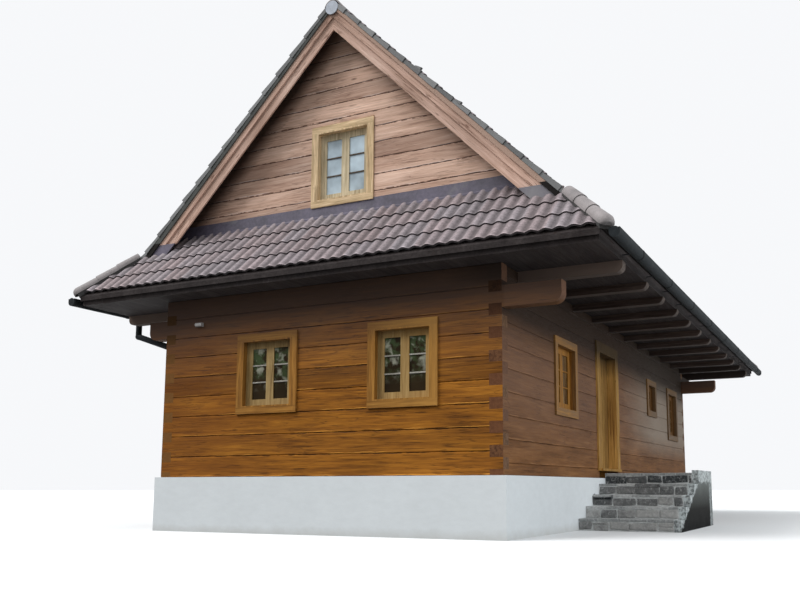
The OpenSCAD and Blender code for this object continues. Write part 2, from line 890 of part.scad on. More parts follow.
// halves of the hinges on the frame, each with the pin that carries the leaf
module door_hinge_pins() {
    color("dimgray") for (z = hinge_places)
        translate([hinge_x, hinge_y, z]) {
            hinge_half(1);
            cylinder(h = hinge_height - 2, r = hinge_pin_radius);
        }
}

module door_leaf() {
    color("khaki") translate([leaf_x, leaf_y, leaf_z]) cube([leaf_thickness, leaf_width, leaf_height]);
}

// lever with its plate, on the side of the leaf that looks to +X
module handle() {
    plate = [6, 44, 180];
    neck = 45;
    grip = [16, 120, 20];
    translate([0, -plate[1] / 2, -plate[2] / 2]) cube(plate);
    rotate([0, 90, 0]) cylinder(h = neck, r = 10);
    translate([neck - 6, -10, -10]) cube(grip);
}

// handles on both sides of the leaf, and the halves of the hinges on the leaf
module door_fittings() {
    color("dimgray") {
        translate([leaf_x, leaf_y + 90, floor_top + 1060]) {
            translate([leaf_thickness, 0, 0]) handle();
            mirror([1, 0, 0]) handle();
        }
        for (z = hinge_places)
            translate([hinge_x, hinge_y, z + hinge_height / 2 + 1]) difference() {
                hinge_half(-1);
                translate([0, 0, -1]) cylinder(h = hinge_height, r = hinge_pin_radius + 0.5);
            }
    }
}

module stair_steps() {
    color("darkgray") for (i = [0:steps - 1])
        translate([stair_x, stair_y + i * tread_depth, 0])
            cube([stair_width - side_wall_thickness, (steps - i) * tread_depth, (i + 1) * riser_height]);
}

module stair_landing() {
    color("darkgray") translate([stair_x, landing_y, 0])
        cube([stair_width - side_wall_thickness, landing_length, landing_top]);
}

// stepped edging at the outer side of the stair, with a kerb at the landing
module stair_side_wall() {
    top = landing_top + kerb_height;
    end = steps * tread_depth + landing_length;
    edge = [for (i = [steps:-1:1]) each
        [[i * tread_depth, i * riser_height], [(i - 1) * tread_depth, i * riser_height]]];
    color("lightgray") translate([stair_x + stair_width - side_wall_thickness, stair_y, 0])
        rotate([90, 0, 90]) linear_extrude(side_wall_thickness)
            polygon(concat([[0, 0], [end, 0], [end, top], [steps * tread_depth, top]], edge));
}

// lamp with a flat base on the wall and a round front
module wall_lamp() {
    w = lamp_width;
    r = lamp_radius;
    color("white") translate([lamp_place - w / 2, front_y, lamp_height]) {
        translate([0, -lamp_base, -r]) cube([w, lamp_base, 2 * r]);
        translate([0, -lamp_base, 0]) rotate([0, 90, 0]) cylinder(h = w, r = r);
    }
}

plinth();
ground_floor();
front_wall();
rear_wall();
left_wall();
right_wall_front();
right_wall_rear();
right_wall_over_door();
front_gable_wall();
rear_gable_wall();
ceiling_beams();
attic_floor();
rafters();
roof_left();
roof_right();
front_skirt_roof();
rear_skirt_roof();
ridge_tiles();
ridge_end_discs();
hip_tiles();
front_barge_boards();
rear_barge_boards();
eave_boards();
left_gutter();
right_gutter();
downpipe();
roof_flashings();
front_window_frames();
front_window_glass();
gable_window_frame();
gable_window_glass();
right_window_frames();
right_window_glass();
left_window_frames();
left_window_glass();
rear_window_frames();
rear_window_glass();
door_frame();
door_hinge_pins();
door_leaf();
door_fittings();
stair_steps();
stair_landing();
stair_side_wall();
wall_lamp();
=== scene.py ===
"""Looks of the log chalet: materials, tiles, boards, stones, bars, light and camera."""

import math
import random

import bmesh
import bpy
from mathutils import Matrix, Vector


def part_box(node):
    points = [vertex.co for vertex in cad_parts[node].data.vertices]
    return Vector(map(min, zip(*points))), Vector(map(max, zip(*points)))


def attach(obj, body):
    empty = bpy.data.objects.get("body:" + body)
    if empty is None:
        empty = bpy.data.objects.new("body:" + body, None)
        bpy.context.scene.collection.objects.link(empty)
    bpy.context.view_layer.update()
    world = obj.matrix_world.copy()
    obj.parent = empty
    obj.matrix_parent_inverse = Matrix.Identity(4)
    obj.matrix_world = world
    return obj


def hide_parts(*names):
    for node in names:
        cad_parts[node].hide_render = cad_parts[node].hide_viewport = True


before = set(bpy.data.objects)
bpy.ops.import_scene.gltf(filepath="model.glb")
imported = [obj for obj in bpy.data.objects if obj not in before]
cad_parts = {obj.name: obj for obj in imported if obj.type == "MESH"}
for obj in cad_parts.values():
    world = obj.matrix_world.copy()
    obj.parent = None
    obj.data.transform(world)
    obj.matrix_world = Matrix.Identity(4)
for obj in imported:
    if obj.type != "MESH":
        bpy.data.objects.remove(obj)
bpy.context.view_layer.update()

# House, in metres; ENDS gives the eave, the verge and the gable wall of the front and the rear
WALL_X = 2.75
WALL_Y = 5.75
RIDGE = 7.83
EAVE_X = 4.24
EAVE_Z = 3.59
EAVE_FRONT = -6.19
EAVE_REAR = 7.65
VERGE_FRONT = -5.541
VERGE_REAR = 6.041
GABLE_FRONT = -5.18
GABLE_REAR = 5.68
ENDS = {-1: (EAVE_FRONT, VERGE_FRONT, GABLE_FRONT), 1: (EAVE_REAR, VERGE_REAR, GABLE_REAR)}
ROOT_HALF = math.sqrt(0.5)
SLOPE = EAVE_X / ROOT_HALF

# Tiles; heights are over the roof's plane
WAVE = 0.174
WAVE_STEPS = 8
TILE_WIDTH = 2 * WAVE
COURSE = 0.353
OVERLAP = 0.004
WAVE_HIGH = -0.014
WAVE_LOW = -0.043
NOSE = 0.021
NOSE_THICK = 0.03
NOSE_DEEP = 0.035
TILE_HEAD = -0.001
# One course from its foot: place up the slope, rise, share of the painted highlight along the nose's edge
TILE_PROFILE = ((0, NOSE - NOSE_THICK, 0), (0, NOSE, 1), (NOSE_DEEP, NOSE - 0.002, 0))
LIFT = 0.055
SKIRT_LIFT = 0.068
GABLE_LIFT = 0.06
RIDGE_GAP = 0.085
FRONT_SHARE = 0.17
REAR_SHARE = 0.4
SKIRT_TUCK = 0.06
DECK_DROP = 0.072
EAVE_DROP = 0.02
DECK_NEAR = 0.003

# Flaps at the verges; slipped ones are (from, to, height at the foot, at the head, lower edge)
FLAP_RISE = 0.01
FLAP_FALL = 0.012
FLAP_FOOT = -0.074
FLAP_OVERLAP = 0.02
FLAP_TOP = 0.04
FLAP_LAST = 0.08
FLAP_INSIDE = 0.03
FLAP_PROUD = (0.014, 0.002)
SLIPPED_FLAPS = ((3.9, 4.02, 0.036, 0.004, -0.03), (3.02, 3.13, 0.018, -0.004, -0.03))
BOX_FACES = ((0, 1, 2, 3), (7, 6, 5, 4), (0, 4, 5, 1), (1, 5, 6, 2), (2, 6, 7, 3), (3, 7, 4, 0))

# Caps; profiles are (place as a share of the pitch, size as a share of the radius)
CAP_BODY = ((0, 0.99), (0.02, 1.01), (0.12, 1), (1.04, 0.89))
CAP_NOSE = ((0, 0.85),)
CAP_DOME = ((-0.19, 0.4), (-0.16, 0.66), (-0.09, 0.88))
RIDGE_RADIUS = 0.138
RIDGE_PITCH = 0.386
RIDGE_DROP = 0.135
HIP_RADIUS = 0.108
HIP_PITCH = 0.37
HIP_DROP = 0.052
HIP_INSET = 0.03
HIP_TOP = 0.075
BED_SHADOW_RADIUS = HIP_RADIUS - 0.014

# Gutters; the sleeve's profile is (place along the gutter, how far it stands out)
GUTTER_X = 4.315
GUTTER_RIM = 3.555
GUTTER_LIP = 0.05
GUTTER_RADIUS = 0.065
SLEEVES = [-5.05 + 1.7 * index for index in range(8)]
SLEEVE_PROFILE = ((-0.022, 0.0005), (-0.018, 0.005), (0.018, 0.005), (0.022, 0.0005))

# Logs and gable boards
WALL_BOTTOM = 0.78
LOG_HIGH = 0.295
BOARD_HIGH = 0.243
BOARD_LONG = 0.14
BOARD_GAP = 0.0035
BOARD_PROUD = 0.008
BOARDS_FROM = 4.4
BOARDS_TO = 7.55
BOARD_FEET = {-1: 4.6, 1: 5.56}
BOARD_REACH = 4.1
BOARD_SHORT = 0.02
UNDER_ROOF = 0.09
ROOF_CUT = 0.095
EDGE_POINTS = 60
EDGE_HALF = 4.2
HOLE_HALF = 0.541
HOLE_LOW = 4.756
HOLE_HIGH = 6.02

# Walls: (place of the face, way inwards, axis of the depth)
WALLS = {
    "front": (-WALL_Y, 1, 1), "rear": (WALL_Y, -1, 1), "right": (WALL_X, -1, 0),
    "left": (-WALL_X, 1, 0), "gable": (GABLE_FRONT, 1, 1),
}

# Windows: (centre, bottom, width, height, casements)
LARGE = (1.76, 0.85, 0.96, 2)
WINDOWS = {
    "front": [(-0.844, *LARGE), (1.342, *LARGE)],
    "right": [(-3.274, *LARGE), (4.358, *LARGE), (2.335, 2.16, 0.62, 0.56, 1)],
    "left": [(-3.274, *LARGE), (0.55, *LARGE), (4.358, *LARGE)],
    "rear": [(-1.093, *LARGE), (1.093, *LARGE)],
    "gable": [(0, 4.855, 0.888, 1.066, 2)],
}
SASH = 0.095
LIP = 0.02
MEETING = 0.13
BAR = 0.02
BAR_TENON = 0.004
BAR_DEPTHS = ((0.068, 0.081), (0.091, 0.104))
# Heads and sills of the frames: (height of the middle, half their height)
RAILS = ((1.68, 0.08), (2.805, 0.085), (3.02, 0.055), (4.78, 0.075), (6.01, 0.089))

# Door leaf
DOOR_BOARDS = 9
DOOR_BOARD_THICK = 0.016
DOOR_JOINT = 0.003
LEDGE_THICK = 0.013
LEDGE_HIGH = 0.14
LEDGE_INSET = 0.04

# Stair
STAIR_LEFT = 2.81
STAIR_RIGHT = 4.208
STAIR_START = -2.968
LANDING_END = -0.256
STEPS = 5
TREAD = 0.374
RISER = 0.171
TREAD_THICK = 0.034
STONE_INSET = 0.008
STONE_WIDTHS = (0.16, 0.4)
SLAB_INSET = 0.004
SLAB_WIDTHS = (0.22, 0.5)
SLAB_JOINT = 0.01
STONE_TONES = (0.75, 0.68, 0.42, 0.4, 0.08)

# Camera and stage
CAMERA_PLACE = (6.778, -15.61, 0.643)
CAMERA_RISE = 0.137
CAMERA_TURN = 0.456
FLOOR_RADIUS = 150
COOL_LIGHT = (0.93, 0.97, 1)


# Meshes
def add_object(name, data):
    """A new object in the scene."""
    item = bpy.data.objects.new(name, data)
    bpy.context.scene.collection.objects.link(item)
    return item


def link(name, bm, look, body="house", replaces=(), smooth=None):
    """Turns a bmesh into a piece that rides on a body."""
    mesh = bpy.data.meshes.new(name)
    bmesh.ops.delete(bm, geom=[vert for vert in bm.verts if not vert.link_faces], context="VERTS")
    bm.normal_update()
    bm.to_mesh(mesh)
    bm.free()
    piece = add_object(name, mesh)
    mesh.materials.append(LOOKS[look])
    if smooth is not None:
        mesh.shade_smooth()
        mesh.set_sharp_from_angle(angle=math.radians(smooth))
    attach(piece, body)
    if replaces:
        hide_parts(*replaces)


def number_layer(bm, name):
    """A number kept with every vertex."""
    return bm.verts.layers.float.get(name) or bm.verts.layers.float.new(name)


def block(bm, low, high, bevel=0, tone=0.5, rng=None, jitter=0):
    """A box between two corners, with rounded edges and its corners moved a little."""
    layer = number_layer(bm, "tone")
    made = bmesh.ops.create_cube(bm, size=1)["verts"]
    for vert in made:
        vert.co = [one + (place + 0.5) * (two - one) for one, two, place in zip(low, high, vert.co)]
        vert[layer] = tone
        if jitter:
            vert.co += Vector((rng.uniform(-jitter, jitter), 0, rng.uniform(-jitter, jitter)))
    if bevel:
        edges = list({edge for vert in made for edge in vert.link_edges})
        bmesh.ops.bevel(bm, geom=edges, offset=bevel, segments=2, profile=0.6, affect="EDGES")


def skin(bm, rows):
    """Faces between neighbouring rows of vertices."""
    for low, high in zip(rows, rows[1:]):
        for index in range(len(low) - 1):
            bm.faces.new((low[index], low[index + 1], high[index + 1], high[index]))


def arc(bm, centre, ways, turns, radius, size=1):
    """Vertices round a centre, at angles from the second way towards the first."""
    line = []
    for turn in turns:
        angle = math.radians(turn)
        way = ways[0] * math.sin(angle) + ways[1] * math.cos(angle)
        line.append(bm.verts.new(centre + way * radius * size))
    return line


def upright(x, y, way_x, way_y):
    """An upright plane to cut along: a point on it, and the way to what goes."""
    return Vector((x, y, 0)), Vector((way_x, way_y, 0)).normalized()


def cut_off(bm, point, outward):
    """Removes what lies beyond a plane."""
    parts = bm.verts[:] + bm.edges[:] + bm.faces[:]
    bmesh.ops.bisect_plane(bm, geom=parts, plane_co=point, plane_no=outward, clear_outer=True, dist=1e-6)


# Materials
def add_node(tree, kind, inputs=None, **settings):
    """A node with its inputs linked or set."""
    item = tree.nodes.new("ShaderNode" + kind)
    for key, value in settings.items():
        setattr(item, key, value)
    for key, value in (inputs or {}).items():
        if isinstance(value, bpy.types.NodeSocket):
            tree.links.new(value, item.inputs[key])
        else:
            item.inputs[key].default_value = value
    return item


LOOKS = {}


class Look:
    """A material under construction, kept in LOOKS."""

    def __init__(self, name, specular=0.5, metallic=0):
        material = bpy.data.materials.new(name)
        material.use_nodes = True
        LOOKS[name] = material
        self.tree = material.node_tree
        self.shader = self.tree.nodes["Principled BSDF"].inputs
        self.shader["Specular IOR Level"].default_value = specular
        self.shader["Metallic"].default_value = metallic
        self.place = self.node("TexCoord")["Object"]
        self.normal = self.node("NewGeometry")["Normal"]

    def node(self, kind, inputs=None, **settings):
        return add_node(self.tree, kind, inputs, **settings).outputs

    def maths(self, operation, first, second=0, third=0):
        keys = {0: first, 1: second, 2: third}
        return self.node("Math", keys, operation=operation)[0]

    def plus(self, first, second):
        return self.maths("ADD", first, second)

    def minus(self, first, second):
        return self.maths("SUBTRACT", first, second)

    def by(self, first, second):
        return self.maths("MULTIPLY", first, second)

    def absolute(self, value):
        return self.maths("ABSOLUTE", value)

    def axis(self, index, vector=None):
        return self.node("SeparateXYZ", {0: vector or self.place})[index]

    def join(self, x, y, z=0):
        return self.node("CombineXYZ", {0: x, 1: y, 2: z})[0]

    def stretch(self, scale, vector=None):
        keys = {0: vector or self.place, 1: scale}
        return self.node("VectorMath", keys, operation="MULTIPLY")[0]

    def noise(self, scale, detail, rough=0.55, vector=None, warp=0):
        keys = {"Vector": vector or self.place, "Scale": scale, "Detail": detail,
                "Roughness": rough, "Distortion": warp}
        return self.node("TexNoise", keys)["Fac"]

    def chance(self, vector):
        return self.node("TexWhiteNoise", {"Vector": vector})["Value"]

    def kept(self, name):
        """A number kept with the vertices of a piece."""
        return self.node("Attribute", attribute_name=name)["Fac"]

    def span(self, value, low, high, new_low=0, new_high=1):
        """A number taken from one span to another, and held there."""
        keys = {0: value, 1: low, 2: high, 3: new_low, 4: new_high}
        return self.node("MapRange", keys)[0]

    def slope_place(self):
        """Place turned so that its first axis runs along the nearer roof slope."""
        outward = self.absolute(self.axis(0))
        height = self.axis(2)
        along = self.by(self.minus(outward, height), ROOT_HALF)
        across = self.by(self.plus(outward, height), ROOT_HALF)
        return self.join(along, self.axis(1), across)

    def ramp(self, value, tones, stops=(0, 0.35, 0.7, 1)):
        item = add_node(self.tree, "ValToRGB", {0: value})
        band = item.color_ramp
        while len(band.elements) < len(stops):
            band.elements.new(0.5)
        for element, stop, tone in zip(band.elements, stops, tones):
            element.position = stop
            element.color = (*tone, 1)
        return item.outputs[0]

    def mix(self, factor, first, second, blend="MIX"):
        keys = {0: factor}
        for index, colour in ((6, first), (7, second)):
            keys[index] = colour if isinstance(colour, bpy.types.NodeSocket) else (*colour, 1)
        return self.node("Mix", keys, data_type="RGBA", blend_type=blend)[2]

    def cover(self, factor, tone, blend="MIX"):
        self.colour = self.mix(factor, self.colour, tone, blend)

    def vary(self, value, dark, light, low=0.3, high=0.7):
        """Makes the colour lighter or darker as a value goes through a span."""
        share = self.span(value, low, high, dark, light)
        grey = self.node("CombineColor", {0: share, 1: share, 2: share})[0]
        self.cover(1, grey, "MULTIPLY")

    def patches(self, tone, value, low, high, amount):
        """Brings in another tone as a value goes through a span."""
        self.cover(self.span(value, low, high, 0, amount), tone)

    def shade(self, axis, low, high, amount, tone, *also, wander=0):
        """Brings in another tone along an axis, held back by further spans."""
        share = self.span(self.plus(self.axis(axis), wander), low, high, 0, amount)
        for other, start, stop in also:
            share = self.by(share, self.span(self.axis(other), start, stop))
        self.cover(share, tone)

    def paint_shade_below(self, dark):
        """Painted shade: darkens faces that look down, such as the noses of tiles."""
        self.vary(self.axis(2, self.normal), 1, dark, -0.15, -0.35)

    def finish(self, value, rough, height, distance, strength, low=0.3, high=0.7):
        """Links the colour, the roughness and a bump to the shader."""
        keys = {"Height": height, "Distance": distance, "Strength": strength}
        bump = self.node("Bump", keys)["Normal"]
        roughness = self.span(value, low, high, *rough)
        for output, socket in ((self.colour, "Base Color"), (roughness, "Roughness"), (bump, "Normal")):
            self.tree.links.new(output, self.shader[socket])


class Wood(Look):
    """Wood under construction, with its grain along one axis."""

    def __init__(self, name, along, sloping):
        super().__init__(name, 0.08)
        self.along = along
        self.base = self.slope_place() if sloping else self.place

    def flow(self, lengthwise, across):
        scale = [lengthwise if axis == self.along else across for axis in range(3)]
        return self.stretch(scale, self.base)

    def grain(self, lengthwise, across, detail, rough, warp=0):
        """Noise drawn out along the grain."""
        return self.noise(1, detail, rough, self.flow(lengthwise, across), warp)

    def number_rows(self, across, pitch, start, key):
        """Numbers the logs or boards, apart for the two sides of the house."""
        self.count = self.maths("DIVIDE", self.minus(self.axis(across), start), pitch)
        self.index = self.maths("FLOOR", self.count)
        self.side = self.maths("GREATER_THAN", self.axis(key), 0)

    def own(self, seed):
        """A random number for each row."""
        return self.chance(self.join(self.index, self.plus(self.side, seed)))

    def part_rows(self, dark, vary):
        self.vary(self.own(0), *vary, 0, 1)
        self.patches(dark, self.own(7), 0.55, 1, 0.3)

    def streak(self, dark, light, amount):
        self.patches(dark, self.grain(1.7, 40, 4, 0.6, 0.25), 0.58, 0.67, amount)
        self.patches(light, self.grain(1.1, 30, 3, 0.6, 0.25), 0.6, 0.72, amount * 0.5)

    def knots(self, dark, amount):
        cells = self.node("TexVoronoi", {"Vector": self.flow(1.1, 3.1), "Scale": 1})
        self.cover(self.span(cells["Distance"], 0.03, 0.075, amount, 0), dark)

    def slits(self, amount):
        """Cracks along the grain, in patches."""
        crack = self.grain(0.9, 16, 3, 0.5, 0.2)
        slit = self.span(self.absolute(self.minus(crack, 0.5)), 0, 0.02, 1, 0)
        patch = self.span(self.noise(1.3, 1), 0.45, 0.6)
        return self.by(slit, self.by(patch, amount))

    def joints(self, dark, light, depth, wide, often, dashes, pale):
        """Dark dashes between the rows, with a painted highlight line just above them."""
        wander = self.by(self.minus(self.grain(3, 0, 3, 0.6), 0.5), 0.16)
        part = self.maths("FRACT", self.plus(self.count, wander))
        near = self.absolute(self.minus(part, 0.5))
        line = self.span(near, 0.5 - wide, 0.5 - wide / 2, 0, depth)
        dash = self.span(self.grain(often, 6, 2, 0.6), dashes, dashes + 0.1)
        self.cover(self.by(line, dash), dark)
        # Painted highlight line just above each joint, in patches
        line = self.span(self.absolute(self.minus(part, 0.05)), 0.01, 0.03, pale, 0)
        highlight_share = self.span(self.grain(1.4, 5, 2, 0.5), 0.48, 0.56)
        self.cover(self.by(line, highlight_share), [min(1, 1.9 * c + 0.03) for c in light])

    def roof_shadow(self, drift, start, stop, amount, tone):
        """The shadow under a roof slope, strongest at the left."""
        reach = self.plus(self.absolute(self.axis(0)), self.axis(2))
        near = self.span(self.plus(reach, self.by(drift, 0.12)), start, stop, 0, amount)
        self.cover(self.by(near, self.span(self.axis(0), 0.7, -0.7, 0.3, 1)), tone)

    def end_grain(self, numbered, axis, tones, left=None, dark=None):
        """Sawn ends: some redder at the right, others at the left, with painted shade upwards."""
        lengthwise = self.colour
        self.colour = self.ramp(self.noise(26, 4, 0.6), tones, (0.3, 0.5, 0.7))
        if numbered:
            right_hand = self.maths("GREATER_THAN", self.axis(0), 0)
            red = self.by(self.span(self.own(3), 0.45, 0.55, 0, 0.6), right_hand)
            self.cover(red, tones[3])
        if left:
            amount, tone = left
            self.patches(tone, self.axis(0), -2, -2.1, amount)
        # Painted shade upwards
        if dark:
            start, stop, share = dark
            self.vary(self.axis(2), 1, share, start, stop)
        facing = self.absolute(self.axis(axis, self.normal))
        self.colour = self.mix(self.maths("GREATER_THAN", facing, 0.8), lengthwise, self.colour)


def toned(tones, by):
    """Tones multiplied by a colour."""
    return [tuple(part * change for part, change in zip(tone, by)) for tone in tones]


def timber(name, along, tones, dark, row=None, rough=(0.6, 0.85), knots=0.5, cracks=0.5, streaks=0,
           joints=None, ends=None, shades=(), grain=26, sloping=False, vary=(0.8, 1.16), under=None,
           lift=None, roof_shadow=None):
    """Sawn or hewn wood. along is the grain's axis; row is (axis, pitch, start, key axis); joints is
    (darkness, half width as a share of the pitch, dashes in a metre, where they stop, painted
    highlight line); ends is (axis, tones, left (amount, tone), painted shade upwards (from, to,
    share)); shades are (axis, from, to, amount, tone, spans that hold it back), some of them painted
    shade and painted light; under is (amount, tone), painted light on faces that look down; lift is
    (axis, share), painted light on faces that face along that axis; roof_shadow is (from, to, amount,
    tone), painted shadow up to the roof's underside."""
    wood = Wood(name, along, sloping)
    fibre = wood.grain(1.3, grain, 5, 0.65, 0.4)
    fine = wood.grain(5, grain * 4, 3, 0.6)
    blotch = wood.grain(0.8, 4, 3, 0.5)
    drift = wood.noise(1.7, 2, vector=wood.flow(0.5, 2))
    value = wood.plus(wood.plus(wood.by(fibre, 0.6), wood.by(fine, 0.2)), wood.by(blotch, 0.45))
    wood.colour = wood.ramp(wood.span(value, 0.42, 0.82), tones)
    if row:
        wood.number_rows(*row)
        wood.part_rows(dark, vary)
    if streaks:
        wood.streak(dark, tones[3], streaks)
    if knots:
        wood.knots(dark, knots)
    slit = wood.slits(cracks)
    wood.cover(slit, dark)
    if joints:
        wood.joints(dark, tones[3], *joints)
    wood.vary(drift, 0.84, 1.12)
    # Spans of another tone: some are painted shade and painted light, others the wood's own tone
    for axis, low, high, *rest in shades:
        wander = wood.by(wood.minus(blotch, 0.5), 0.6 * abs(high - low))
        wood.shade(axis, low, high, *rest, wander=wander)
    if roof_shadow:
        wood.roof_shadow(drift, *roof_shadow)
    # Painted light on faces that face along the lift axis
    if lift:
        facing = wood.absolute(wood.axis(lift[0], wood.normal))
        wood.vary(facing, 1, lift[1], 0.6, 0.8)
    if ends:
        wood.end_grain(bool(row), *ends)
    # Painted light on faces that look down
    if under:
        amount, tone = under
        wood.patches(tone, wood.axis(2, wood.normal), -0.25, -0.75, amount)
    height = wood.plus(wood.plus(fibre, wood.by(slit, -1.4)), wood.by(drift, 1.5))
    wood.finish(fine, rough, height, 0.006, 0.55)


def joinery_look(name, tones, sash_tones, dark, shades=()):
    """Oiled window frames: upright grain, level grain in heads and sills, paler sashes."""
    look = Look(name, 0.12)
    height = look.axis(2)
    rails = 0
    for centre, half in RAILS:
        rails = look.plus(look.maths("COMPARE", height, centre, half), rails)
    grains = []
    for vector in ((26, 26, 1.3), (1.3, 1.3, 26)):
        wide = look.noise(1, 5, 0.65, look.stretch(vector), 0.4)
        thin = look.noise(3.5, 3, 0.6, look.stretch(vector))
        grains.append(look.plus(look.by(wide, 0.7), look.by(thin, 0.3)))
    level = look.by(look.minus(grains[1], grains[0]), rails)
    value = look.span(look.plus(grains[0], level), 0.36, 0.64)
    look.colour = look.ramp(value, tones)
    # The sashes lie deeper than the frames, and less far out in the gable
    limit = look.span(height, 3.99, 4.01, 5.7, 5.13)
    deep = look.maths("LESS_THAN", look.absolute(look.axis(1)), limit)
    inner = look.maths("LESS_THAN", look.absolute(look.axis(0)), 2.4)
    look.cover(look.by(deep, inner), look.ramp(value, sash_tones))
    drift = look.noise(2, 3)
    look.vary(drift, 0.86, 1.14)
    look.patches(dark, look.noise(5, 5, 0.7), 0.62, 0.75, 0.35)
    for shade in shades:
        look.shade(*shade, wander=look.by(drift, 0.1))
    look.finish(value, (0.5, 0.75), grains[0], 0.003, 0.5, 0, 1)


def tile_look(name, along):
    """Concrete roof tiles, each of its own tone. along is the axis of the eave."""
    look = Look(name, 0.3)
    across = look.axis(along)
    column = look.maths("FLOOR", look.maths("DIVIDE", across, TILE_WIDTH))
    row = look.kept("row")
    cool, rosy = (toned([TILE_TONE], by)[0] for by in ((0.95, 1, 1.04), (1.07, 1, 0.99)))
    look.colour = look.mix(look.chance(look.join(column, row)), cool, rosy)
    look.vary(look.chance(look.join(row, column, 4)), 0.9, 1.1, 0, 1)
    speck = look.noise(24, 6, 0.85)
    stain = look.noise(3, 5, 0.65)
    look.vary(speck, 0.68, 1.26, 0.38, 0.62)
    look.vary(stain, 0.9, 1.1)
    look.patches((0.085, 0.098, 0.082), look.noise(5.5, 6, 0.7), 0.64, 0.76, 0.3)
    # Painted shade in the pans and painted highlight on the rolls, with some dirt in the pans
    wave = look.maths("COSINE", look.by(across, 2 * math.pi / WAVE))
    look.vary(wave, 0.56, 1.22, -0.7, 0.9)
    # Painted highlight along the noses' upper edges
    look.vary(look.kept("edge"), 1, 1.8, 0, 2)
    # Painted shade on the noses, which look down
    look.paint_shade_below(0.2)
    look.finish(stain, (0.62, 0.85), look.plus(speck, stain), 0.0015, 0.5)


def plain_look(name, tone, spread, scale, grit, rough=(0.6, 0.8), bump=0.001,
               stain=None, vary=None, under=1, shades=(), specular=0.5, metallic=0):
    """A surface with mottling, grit and stains. vary is the range of the pieces' own tones; under
    below 1 is painted shade on faces that look down.
    """
    look = Look(name, specular, metallic)
    cloud = look.noise(scale, 5, 0.6)
    sand = look.noise(grit, 3, 0.65)
    low = [c * (1 - spread) for c in tone]
    high = [min(1, c * (1 + spread)) for c in tone]
    look.colour = look.ramp(cloud, (low, high), (0.3, 0.7))
    look.vary(sand, 1 - spread / 2, 1 + spread / 2)
    if stain:
        mark, amount = stain
        look.patches(mark, look.noise(scale * 0.6, 6, 0.7), 0.55, 0.75, amount)
    if vary:
        look.vary(look.kept("tone"), *vary, 0, 1)
    # Painted shade on faces that look down
    if under < 1:
        look.paint_shade_below(under)
    for shade in shades:
        look.shade(*shade)
    look.finish(cloud, rough, look.plus(cloud, sand), bump, 0.5)


def stone_look(name, tones, light, own_share):
    """Split stones, each of its own tone, with paler veins and mottling."""
    look = Look(name, 0.3)
    cloud = look.noise(9, 6, 0.7, warp=0.6)
    value = look.plus(look.by(look.kept("tone"), own_share), look.by(cloud, 0.7))
    look.colour = look.ramp(value, tones, (0.15, 0.45, 0.75, 1))
    look.patches(light, look.noise(16, 6, 0.75, warp=1.2), 0.52, 0.68, 0.7)
    pits = look.noise(34, 4, 0.7)
    look.vary(pits, 0.72, 1.2)
    height = look.plus(cloud, look.by(pits, 0.4))
    look.finish(cloud, (0.65, 0.9), height, 0.01, 0.7)


def edging_look(name):
    """The stair's side: a rendered face with painted shade, near black at the foot and paler upwards, with a
    ragged pale coping.
    """
    look = Look(name, 0.08)
    height = look.axis(2)
    cloud = look.noise(5, 6, 0.7)
    look.colour = look.ramp(look.span(height, 0, 0.85), EDGING, (0, 0.35, 0.6, 1))
    look.vary(cloud, 0.75, 1.2)
    line = look.by(look.minus(look.axis(1), STAIR_START), RISER / TREAD)
    above = look.minus(height, look.maths("MINIMUM", line, 4 * RISER))
    ragged = look.plus(above, look.by(look.noise(7, 6, 0.75), 0.34))
    far_edge = look.maths("GREATER_THAN", look.plus(look.axis(1), look.by(cloud, 0.3)), -0.38)
    rim = look.maths("MAXIMUM", look.span(ragged, 0.18, 0.22, 0, 0.85), look.by(far_edge, 0.5))
    chips = look.noise(24, 5, 0.7)
    pale = look.ramp(chips, ((0.16, 0.17, 0.17), (0.62, 0.66, 0.66)), (0.38, 0.56))
    look.cover(rim, pale)
    top = look.maths("LESS_THAN", look.axis(0, look.normal), 0.6)
    look.cover(look.by(top, 0.8), pale)
    look.finish(cloud, (0.75, 0.95), look.plus(cloud, chips), 0.01, 0.6)


def render_look(name, tone, foot, foot_colour, amount):
    """Lime render with trowel marks, and dirt splashed up from the ground."""
    look = Look(name, 0.3)
    cloud = look.noise(1.6, 5, 0.6)
    trowel = look.noise(7, 4, 0.6, look.stretch([1, 1, 2.2]))
    sand = look.noise(140, 3, 0.7)
    look.colour = look.ramp(cloud, ([c * 0.95 for c in tone], tone), (0.3, 0.7))
    look.vary(trowel, 0.965, 1.02)
    ragged = look.plus(look.axis(2), look.by(look.noise(4, 6, 0.7), foot))
    look.cover(look.span(ragged, foot * 0.35, foot * 1.25, amount, 0), foot_colour)
    height = look.plus(trowel, look.by(sand, 0.3))
    look.finish(trowel, (0.75, 0.92), height, 0.002, 0.5)


def glass_look(name, tone, rough, specular, tree_reflection=None):
    """A pane seen from outside: painted shade of a dark room behind, painted reflections of trees and sky,
    old drawn glass.
    """
    look = Look(name, specular)
    tones = [[c * share for c in tone] for share in (0.6, 1.4)]
    look.colour = look.ramp(look.noise(2.2, 3, 0.5), tones, (0.3, 0.7))
    # Painted reflections of trees and sky, fading in upwards over the upper panes
    if tree_reflection:
        reflection_fade = look.span(look.axis(2), *tree_reflection)
        leaf_reflection = look.span(look.noise(6, 4, 0.6, warp=0.3), 0.44, 0.6)
        look.cover(look.by(leaf_reflection, reflection_fade), (0.05, 0.072, 0.03))
        sky_reflection = look.span(look.noise(7.5, 3, 0.55, warp=0.3), 0.5, 0.68)
        look.cover(look.by(sky_reflection, reflection_fade), (0.33, 0.33, 0.26))
    wavy = look.noise(3, 1, 0.4)
    look.finish(wavy, (rough, rough * 1.8), wavy, 0.004, 0.25)


